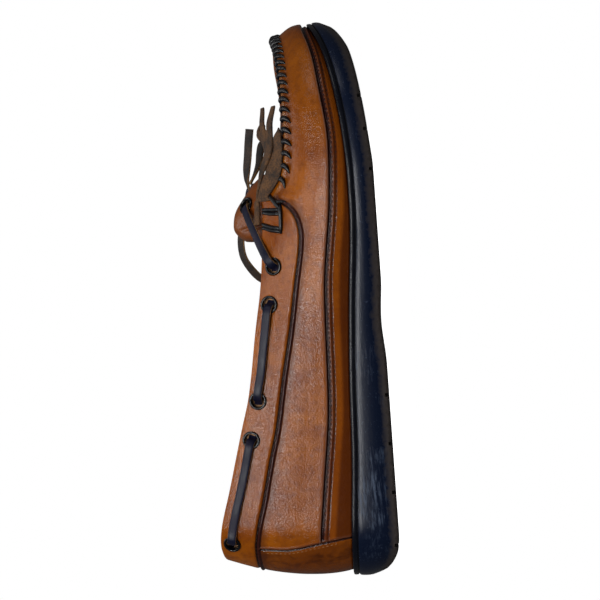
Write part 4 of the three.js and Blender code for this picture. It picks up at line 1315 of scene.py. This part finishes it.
# %% The flap
def build_flap():
    parts = [wing(-1), wing(1), throat_binding(-1), throat_binding(1)]
    q = 2 * spread(54, 54) - 1
    s = spread(30, 30) * 0.76
    middle, normal = arch_grid(FLAP, s, q)
    ruffle = 0.35 * waves(middle, 11, 41) * ease(0, 0.3, s)[:, None]
    middle = middle + normal * (ruffle - 0.8)[..., None]
    parts.append(sheet_of(middle, normal, 1.6))
    edges = np.linspace(-1, 1, 12)
    for k, lift in enumerate(LIFTS):
        swing, reach = RANDOM.uniform(-1.4, 1.4), REACHES[k]
        q = edges[k] + (edges[k + 1] - edges[k]) * (
            0.04 + 0.92 * spread(3, 4.4, (0, 0.12, 0.4, 0.8)))
        s = 0.5 + 0.5 * spread(18, 24)
        middle, normal = arch_grid(FLAP, s, q)
        run = ((s - 0.5) / 0.5)[:, None]
        curl = lift * run ** 2 + 0.3 * np.sin(run * 6 + k) * run
        middle = middle + normal * (curl - 0.8)[..., None]
        middle[..., 0] += (reach + 0.6 * abs(lift)) * run ** 2
        middle[..., 1] += swing * run ** 2
        taper = middle.mean(axis=1, keepdims=True)
        middle = taper + (middle - taper) * (1 - 0.35 * run[..., None] ** 3)
        parts.append(sheet_of(middle, grid_normal(middle), 1.5))
    points, faces, _ = join_parts(parts)
    piece = mesh_piece("fringed_flap", points, faces, [SUEDE])
    outward_faces(piece)
    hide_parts("kiltie")
    return piece


print("flap faces:", len(build_flap().data.polygons))

# %% [markdown]
# ## Eyelets
# Each eyelet is a pressed steel ring, black enamelled: a domed flange and a barrel
# through the leather. A torus would look like bent wire, and a section turned about the
# hole's axis has both the flange and the barrel.

# %% Eyelets
def enamel(tree):
    place = add(tree, "TexCoord", {}).outputs["Object"]
    wear = add(tree, "TexNoise", {"Vector": place, "Scale": per_mm(1.2), "Detail": 4.0})
    rough = add(tree, "MapRange", {"Value": wear, 1: 0.4, 2: 0.7, 3: 0.16, 4: 0.3})
    chips = add(tree, "MapRange", {"Value": wear, 1: 0.7, 2: 0.76, 4: 0.5})
    return {"Base Color": over(tree, chips, "#040507", "#3b3a3c"), "Roughness": rough}


# Stove enamel on pressed steel gives a thin hard glint, chipped to grey at the rim.
BLACK_ENAMEL = material("black_enamelled_steel", enamel, IOR=1.5,
                        **{"Specular IOR Level": 0.35})
RING = [(3.25, -2.6), (3.6, -2.6), (3.62, 0.05), (4.7, 0.1), (4.74, 0.35), (4.6, 0.72),
        (4.3, 0.98), (3.95, 1.05), (3.6, 0.95), (3.34, 0.66), (3.25, 0.2)]


def build_eyelets():
    parts, nodes = [], []
    for side in ("outer", "inner"):
        for k, spot in enumerate([TABS[side]] + SPOTS[side]):
            points, faces, _ = turned_shape(RING, spot, 44)
            parts.append((points, faces.tolist(), [0] * len(faces)))
            nodes.append(f"eyelet_{side}_{k + 1}")
    points, faces, _ = join_parts(parts)
    piece = mesh_piece("eyelet_rings", points, faces, [BLACK_ENAMEL])
    outward_faces(piece)
    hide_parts(*nodes)
    return piece


print("eyelet faces:", len(build_eyelets().data.polygons))

# %% [markdown]
# ## The lace through the eyelets
# The lace runs from the tongue down to the collar and on round the heel, in at one eyelet
# and out at the next. Between some eyelets it lies on the leather, elsewhere behind it.
# Short stretches that end in the holes could do, but one route turns as a strap does.

# %% Run the lace
OVER, ALONG, UNDER = 2.1, 1.3, -3.2


def lifted(spot, height, way=0, by=0.0, turned=None):
    """A stop over a spot, moved some way along the leather, and the way its face looks."""
    place = spot["place"] + spot["normal"] * height + way * by
    return np.concatenate([place, spot["normal"] if turned is None else turned])


def level(spot, to):
    """The way along the leather from a spot to a place."""
    way = to - spot["place"]
    return unit(way - spot["normal"] * np.dot(way, spot["normal"]))


def through(spot, outside, inside):
    """Stops from outside, over the rim, down the bore and away behind the wall."""
    from_way, to_way, up = level(spot, outside), level(spot, inside), spot["normal"]
    return [lifted(spot, OVER, from_way, 4.4), lifted(spot, OVER - 0.5, from_way, 2.0,
                                                      up - 0.5 * from_way),
            lifted(spot, 0.2, from_way, 0.5, 0.3 * up - from_way),
            lifted(spot, -1.6, to_way, 0.1, 0.3 * up - from_way),
            lifted(spot, UNDER, to_way, 2.4)]


def between(a, b, shares, height):
    """Stops at a height over the skin, at shares of the way from one eyelet to the next."""
    made = []
    for share in shares:
        turn = a["turn"] + (b["turn"] - a["turn"]) * share
        v = a["v"] + (b["v"] - a["v"]) * share
        point, normal = skin(turn, v), skin_normal(turn, v)
        made.append(np.concatenate([point + normal * height, normal]))
    return made


print("the lace lies", ALONG, "mm over the leather and", -UNDER, "mm under it")


# %% Thread it from side to side
def lace_stops(side):
    """All stops on one side, from the tongue's eyelet to the last one by the heel."""
    tab, (one, two, three, four, five) = TABS[side], SPOTS[side]
    middle = (one["place"] + tab["place"]) / 2 + one["normal"] * 4.5
    reach = np.concatenate([middle, unit(tab["normal"] + one["normal"])])
    behind = five["place"] + np.array([-9, 0, 0.4])
    inward = tab["place"] + np.array([6, 0, 0])
    return (through(tab, one["place"], inward)[::-1] + [reach]
            + through(one, tab["place"], two["place"]) + between(one, two, (0.4, 0.6), UNDER)
            + through(two, three["place"], one["place"])[::-1]
            + between(two, three, (0.3, 0.5, 0.7), ALONG + 0.3)
            + through(three, two["place"], four["place"])
            + between(three, four, (0.4, 0.6), UNDER)
            + through(four, five["place"], three["place"])[::-1]
            + between(four, five, (0.2, 0.4, 0.6, 0.8), ALONG + 0.2)
            + through(five, four["place"], behind))


def build_lace():
    outer, inner = lace_stops("outer"), lace_stops("inner")
    a, b = SPOTS["outer"][4], dict(SPOTS["inner"][4])
    b["turn"] -= 1
    heel = between(a, b, (0.14, 0.28, 0.42, 0.5, 0.58, 0.72, 0.86), UNDER)
    route, run = smooth_route(outer + heel + inner[::-1])
    points, faces, leathers = lace_mesh(route, wave=0.06)
    piece = mesh_piece("lace_strap", points, faces, LACE, leathers)
    outward_faces(piece)
    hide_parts("lace")
    print("lace in the eyelets:", round(run), "mm, faces", len(piece.data.polygons))


build_lace()

# %% [markdown]
# ## Hand sewing
# The plug is sewn to the wall by hand with waxed linen cord: each stitch goes over the
# pinched edge and pulls it down. An image could only draw them flat, so every stitch is a
# short tapering cord laid on the relief, and all of them are one mesh.

# %% Cords and threads
def waxed_cord(dark, light):
    def build(tree):
        place = add(tree, "TexCoord", {}).outputs["Object"]
        # The strands are too fine to show, so their twist is drawn at 0.8 mm.
        twist = add(tree, "TexNoise", {"Vector": place, "Scale": per_mm(0.8), "Detail": 4.0})
        mask = add(tree, "MapRange", {"Value": twist, 1: 0.5, 2: 0.75})
        bump = add(tree, "Bump", {"Height": twist, "Strength": 0.6, "Distance": 0.0002})
        return {"Base Color": over(tree, mask, dark, light), "Normal": bump}
    return build


# Wax gives the black cord a soft sheen on its twist. The machine threads are dry and dull.
CORD = material("waxed_linen_cord_black", waxed_cord("#050508", "#1c1a20"), Roughness=0.34,
                **{"Specular IOR Level": 0.35})
RED_THREAD = material("bonded_thread_burgundy", waxed_cord("#1c0908", "#472016"), Roughness=0.6,
                      **{"Specular IOR Level": 0.2})
TAN_THREAD = material("bonded_thread_tan", waxed_cord("#7a4a20", "#a5743e"), Roughness=0.55)
print("threads:", [one.name for one in (CORD, RED_THREAD, TAN_THREAD)])


# %% Stitches over the plug's seam
def tube(path, sides=8):
    """A closed cord along rows of x, y, z, normal x, y, z, radius."""
    route, _ = smooth_route(path, 0.55)
    place, normal, radius = route[:, :3], route[:, 3:6], route[:, 6]
    along = unit(np.gradient(place, axis=0))
    across = unit(np.cross(along, normal))
    up = np.cross(across, along)
    angle = np.linspace(0, 2 * np.pi, sides, endpoint=False)
    spoke = (np.cos(angle)[None, :, None] * across[:, None]
             + 0.8 * np.sin(angle)[None, :, None] * up[:, None])
    points = place[:, None] + spoke * radius[:, None, None]
    faces = grid_faces(len(route), sides, wrap_columns=True).tolist()
    last = (len(route) - 1) * sides
    faces += [list(range(sides))[::-1], [last + k for k in range(sides)]]
    return points.reshape(-1, 3), faces, [0] * len(faces)


# One stitch over the seam: step across it (plug side is plus), share of its slant,
# height over the leather, radius.
STITCH = np.array([(2.9, 0.1, -0.5, 0.55), (2.2, 0.1, 0.5, 1.05), (1.0, 0.04, 1.1, 1.4),
                   (-0.5, -0.1, 1.15, 1.38), (-1.8, -0.3, 1.0, 1.2), (-2.9, -0.55, 0.7, 0.9),
                   (-3.8, -0.85, 0.2, 0.55), (-4.3, -1.0, -0.4, 0.3)])


def sew_plug():
    """A stitch at every step of the seam, but for the first and last under the corners."""
    count = int(STITCH_COUNT[-1])
    middle = np.interp(np.arange(count) + 0.5, STITCH_COUNT[sewn], TURNS[sewn])
    rate = along / ((np.roll(TURNS, -1) - np.roll(TURNS, 1)) % 1 / 2)
    slant = 3.2 + 2.6 * ease(238, 206, around(MOC_LINE[:, 0], middle))
    steps = STITCH[:, 1][None] * slant[:, None] + RANDOM.normal(0, 0.15, (count, 1))
    turn = middle[:, None] + steps / around(rate, middle)[:, None]
    run = around(SEAM_RUN, turn) + STITCH[:, 0][None] / around(SEAM_SQUARE, turn)
    made, normal, _ = dressed(turn.ravel(), run.ravel()[:, None])
    made = made[:, 0].reshape(count, -1, 3) + normal[:, 0].reshape(count, -1, 3) * (
        STITCH[:, 2][None, :, None])
    normal = normal[:, 0].reshape(count, -1, 3)
    size = RANDOM.uniform(1.02, 1.18, (count, 1)) * STITCH[:, 3][None]
    return [tube(np.dstack([made, normal, size])[k]) for k in range(1, count - 1)]


print("stitches counted along the seam:", int(STITCH_COUNT[-1]))


# %% Threads at the throat's corners
SIDE_TURN = np.linspace(0.03, 0.40, 620)
SIDE_V = np.linspace(0.1, 1, 420)
SIDE_GRIDS = {-1: skin(SIDE_TURN[:, None], SIDE_V[None]),
              1: skin(1 - SIDE_TURN[:, None], SIDE_V[None])}


def on_side(side, x, z):
    """Turn and run of the place on one side of the shoe with this x and height."""
    grid = SIDE_GRIDS[side]
    off = np.hypot(grid[..., 0] - x, grid[..., 2] - z)
    i, j = np.unravel_index(np.argmin(off), off.shape)
    turn = SIDE_TURN[i] if side < 0 else 1 - SIDE_TURN[i]
    _, table = runs(np.array([turn]))
    return turn, np.interp(SIDE_V[j], FINE_V, table[0])


def thread_on(side, *stops):
    """A cord on the leather through stops of x, height of the place, lift and radius."""
    at = np.array([on_side(side, x, z) for x, z, _, _ in stops])
    made, normal, _ = dressed(at[:, 0], at[:, 1:2])
    lift, radius = np.array(stops)[:, 2:3], np.array(stops)[:, 3:4]
    return tube(np.hstack([made[:, 0] + normal[:, 0] * lift, normal[:, 0], radius]))


print("places searched on each side:", SIDE_GRIDS[1][..., 0].size)


# %% Threads of the corners
# Stops of each thread: x, height of the place on the leather, lift over it and radius, in mm.
DOUBLE_THREADS = (
    ((195.6, 49.2, -0.3, 0.6), (195.8, 50.6, 0.7, 0.95), (196.3, 54.2, 0.9, 1.0),
     (196.9, 57.4, 0.9, 0.95), (197.1, 58.7, 0.4, 0.8)),
    ((186, 49.2, -0.3, 0.6), (186.6, 50.8, 0.7, 0.95), (187.6, 54.6, 0.9, 1.0),
     (189, 58, 0.9, 0.95), (189.4, 59.4, 0.4, 0.8)))
SINGLE_THREADS = (
    ((184.6, 49.8, -0.2, 0.6), (187, 49.3, 0.8, 1.0), (192, 48.9, 1.0, 1.05),
     (197, 48.7, 1.0, 1.05), (199.6, 49.3, 0.2, 0.7)),
    ((196.6, 49.0, -0.2, 0.6), (198.4, 49.8, 0.9, 1.0), (201.2, 51.6, 1.3, 1.1),
     (204.2, 54.0, 0.8, 0.9), (205.4, 55.2, -0.2, 0.6)),
    ((200.6, 46.0, -0.2, 0.35), (200.8, 47.6, 0.6, 0.6), (201, 50.4, 1.3, 0.8)))
THREAD_GAP = 1.9


def sew_corner(side):
    """The bars of doubled thread and the runs that tie them at one corner of the throat."""
    bars = []
    for shift in (-THREAD_GAP / 2, THREAD_GAP / 2):
        for stops in DOUBLE_THREADS:
            bars.append(thread_on(side, *[(x + shift, *rest) for x, *rest in stops]))
    return bars + [thread_on(side, *stops) for stops in SINGLE_THREADS]


print("threads at each corner:", 2 * len(DOUBLE_THREADS) + len(SINGLE_THREADS))


# %% Sew
def build_hand_sewing():
    parts = sew_plug() + sew_corner(-1) + sew_corner(1)
    points, faces, _ = join_parts(parts)
    piece = mesh_piece("hand_sewing", points, faces, [CORD])
    outward_faces(piece)
    print("hand stitches:", len(parts), "faces:", len(faces))


build_hand_sewing()

# %% [markdown]
# ## Machine stitching
# Fine bonded thread holds the laps: two rows along the lower band, one along the collar
# and one down each side of the counter. A dashed image could draw them, but thread
# catches light, so one small capsule is repeated along each row.

# %% Rows of machine stitches
def capsules(line, normal, pitch, length, radius, sink=0.1):
    """Short threads at even steps along a line of points."""
    run = np.concatenate([[0], np.cumsum(np.linalg.norm(np.diff(line, axis=0), axis=1))])
    at = np.arange(pitch / 2, run[-1], pitch)
    place = np.stack([np.interp(at, run, c) for c in line.T], 1)
    up = unit(np.stack([np.interp(at, run, c) for c in normal.T], 1))
    ahead = np.stack([np.interp(at + 0.5, run, c) for c in line.T], 1)
    behind = np.stack([np.interp(at - 0.5, run, c) for c in line.T], 1)
    along = unit(ahead - behind)
    across = np.cross(up, along)
    t = np.linspace(-1, 1, 6)
    swell = radius * np.sqrt(np.maximum(0.02, 1 - np.abs(t) ** 3))
    dip = -sink - 0.5 * radius * t ** 4
    angle = np.linspace(0, 2 * np.pi, 6, endpoint=False)
    shape = np.stack([np.repeat(t * length / 2, 6), (swell[:, None] * np.cos(angle)).ravel(),
                      (swell[:, None] * np.sin(angle)).ravel() + np.repeat(dip, 6)], 1)
    points = (place[:, None] + shape[None, :, :1] * along[:, None]
              + shape[None, :, 1:2] * across[:, None] + shape[None, :, 2:] * up[:, None])
    one = grid_faces(6, 6, wrap_columns=True)
    faces = (one[None] + (np.arange(len(at)) * 36)[:, None, None]).reshape(-1, 4)
    return points.reshape(-1, 3), faces.tolist(), [0] * len(faces)


print("faces of one capsule:", len(grid_faces(6, 6, wrap_columns=True)))


# %% Lay the rows
def row_along(base, square, offset, turns, **sizes):
    run = around(base, turns) + offset / around(square, turns)
    made, normal, _ = dressed(turns, run[:, None])
    return capsules(made[:, 0], normal[:, 0], **sizes)


def build_stitching():
    front = np.linspace(turn_of(26), 1 - turn_of(26), 500)
    back = np.linspace(-turn_of(196), turn_of(196), 460)
    rows = [row_along(GROOVE_RUN, GROOVE_SQUARE, off, front, pitch=2.5, length=1.9, radius=0.36)
            for off in (-1.95, -3.9)]
    rows.append(row_along(SEAM_RUN, SEAM_SQUARE, 0.75, back, pitch=2.6, length=2.0, radius=0.3))
    red = join_parts(rows)
    piece = mesh_piece("machine_stitching", red[0], red[1], [RED_THREAD])
    rows = []
    for side in (-1, 1):
        heights = np.linspace(27, 70, 16)
        at = np.array([on_side(side, counter_x(z) - 1.6, z) for z in heights])
        made, normal, _ = dressed(at[:, 0], at[:, 1:2])
        rows.append(capsules(made[:, 0], normal[:, 0], 2.3, 1.7, 0.28))
    tan = join_parts(rows)
    piece_tan = mesh_piece("counter_stitching", tan[0], tan[1], [TAN_THREAD])
    print("machine stitch faces:", len(red[1]) + len(tan[1]))


build_stitching()

# %% [markdown]
# ## Floor, light and the end
# The shoe stands on a plain pale floor in soft studio light. White paper that only the
# camera sees keeps the ground even, and two long narrow softboxes draw the sheen along
# the shoe's side, where one big lamp would wash the leather's colour out.

# %% Floor and backdrop
def paper(name, colour, glow, **sockets):
    """Paper lit evenly by a glow of its own: no shine, no shade in its corners."""
    return material(name, lambda tree: {"Base Color": colour}, **sockets,
                    **{"Emission Color": (1, 1, 1, 1), "Emission Strength": glow,
                       "Specular IOR Level": 0.0})


def build_stage():
    white = paper("matt_white_paper", "#f7f7f7", 0.88, Roughness=1.0)
    data = bpy.data.meshes.new("floor")
    data.from_pydata([(-4, -4, 0), (4, -4, 0), (4, 4, 0), (-4, 4, 0)], [], [(0, 1, 2, 3)])
    data.materials.append(white)
    floor = bpy.data.objects.new("floor", data)
    bpy.context.scene.collection.objects.link(floor)
    floor.visible_diffuse = floor.visible_glossy = False
    bpy.ops.mesh.primitive_uv_sphere_add(radius=7, segments=48, ring_count=24)
    dome = bpy.context.object
    dome.name = "white_backdrop"
    dome.data.materials.append(paper("white_backdrop_paper", "#000000", 1.0))
    dome.visible_diffuse = dome.visible_glossy = dome.visible_shadow = False
    dome.visible_transmission = dome.visible_volume_scatter = False
    world = bpy.data.worlds.new("studio")
    world.use_nodes = True
    sky = world.node_tree.nodes["Background"]
    sky.inputs["Color"].default_value = linear("#ffffff")
    sky.inputs["Strength"].default_value = 0.1
    bpy.context.scene.world = world
    return floor, dome


print("papers:", [one.name for one in build_stage()])


# %% Lamps
def lamp(name, place, size, watts):
    data = bpy.data.lights.new(name, "AREA")
    data.shape, data.size, data.size_y, data.energy = "RECTANGLE", size[0], size[1], watts
    made = bpy.data.objects.new(name, data)
    bpy.context.scene.collection.objects.link(made)
    made.location = place
    made.rotation_euler = (Vector((0, 0, 0.05)) - Vector(place)).to_track_quat("-Z", "Y").to_euler()


lamp("softbox_side", (-0.15, -1.0, 0.42), (0.6, 0.1), 6.8)
lamp("softbox_high", (0.0, -0.85, 0.95), (0.6, 0.1), 4.4)
lamp("softbox_top", (0.1, 0.1, 1.3), (0.9, 0.6), 4)
lamp("softbox_toe", (1.0, -0.6, 0.5), (0.3, 0.5), 1.6)
bpy.context.scene.view_settings.view_transform = "Standard"
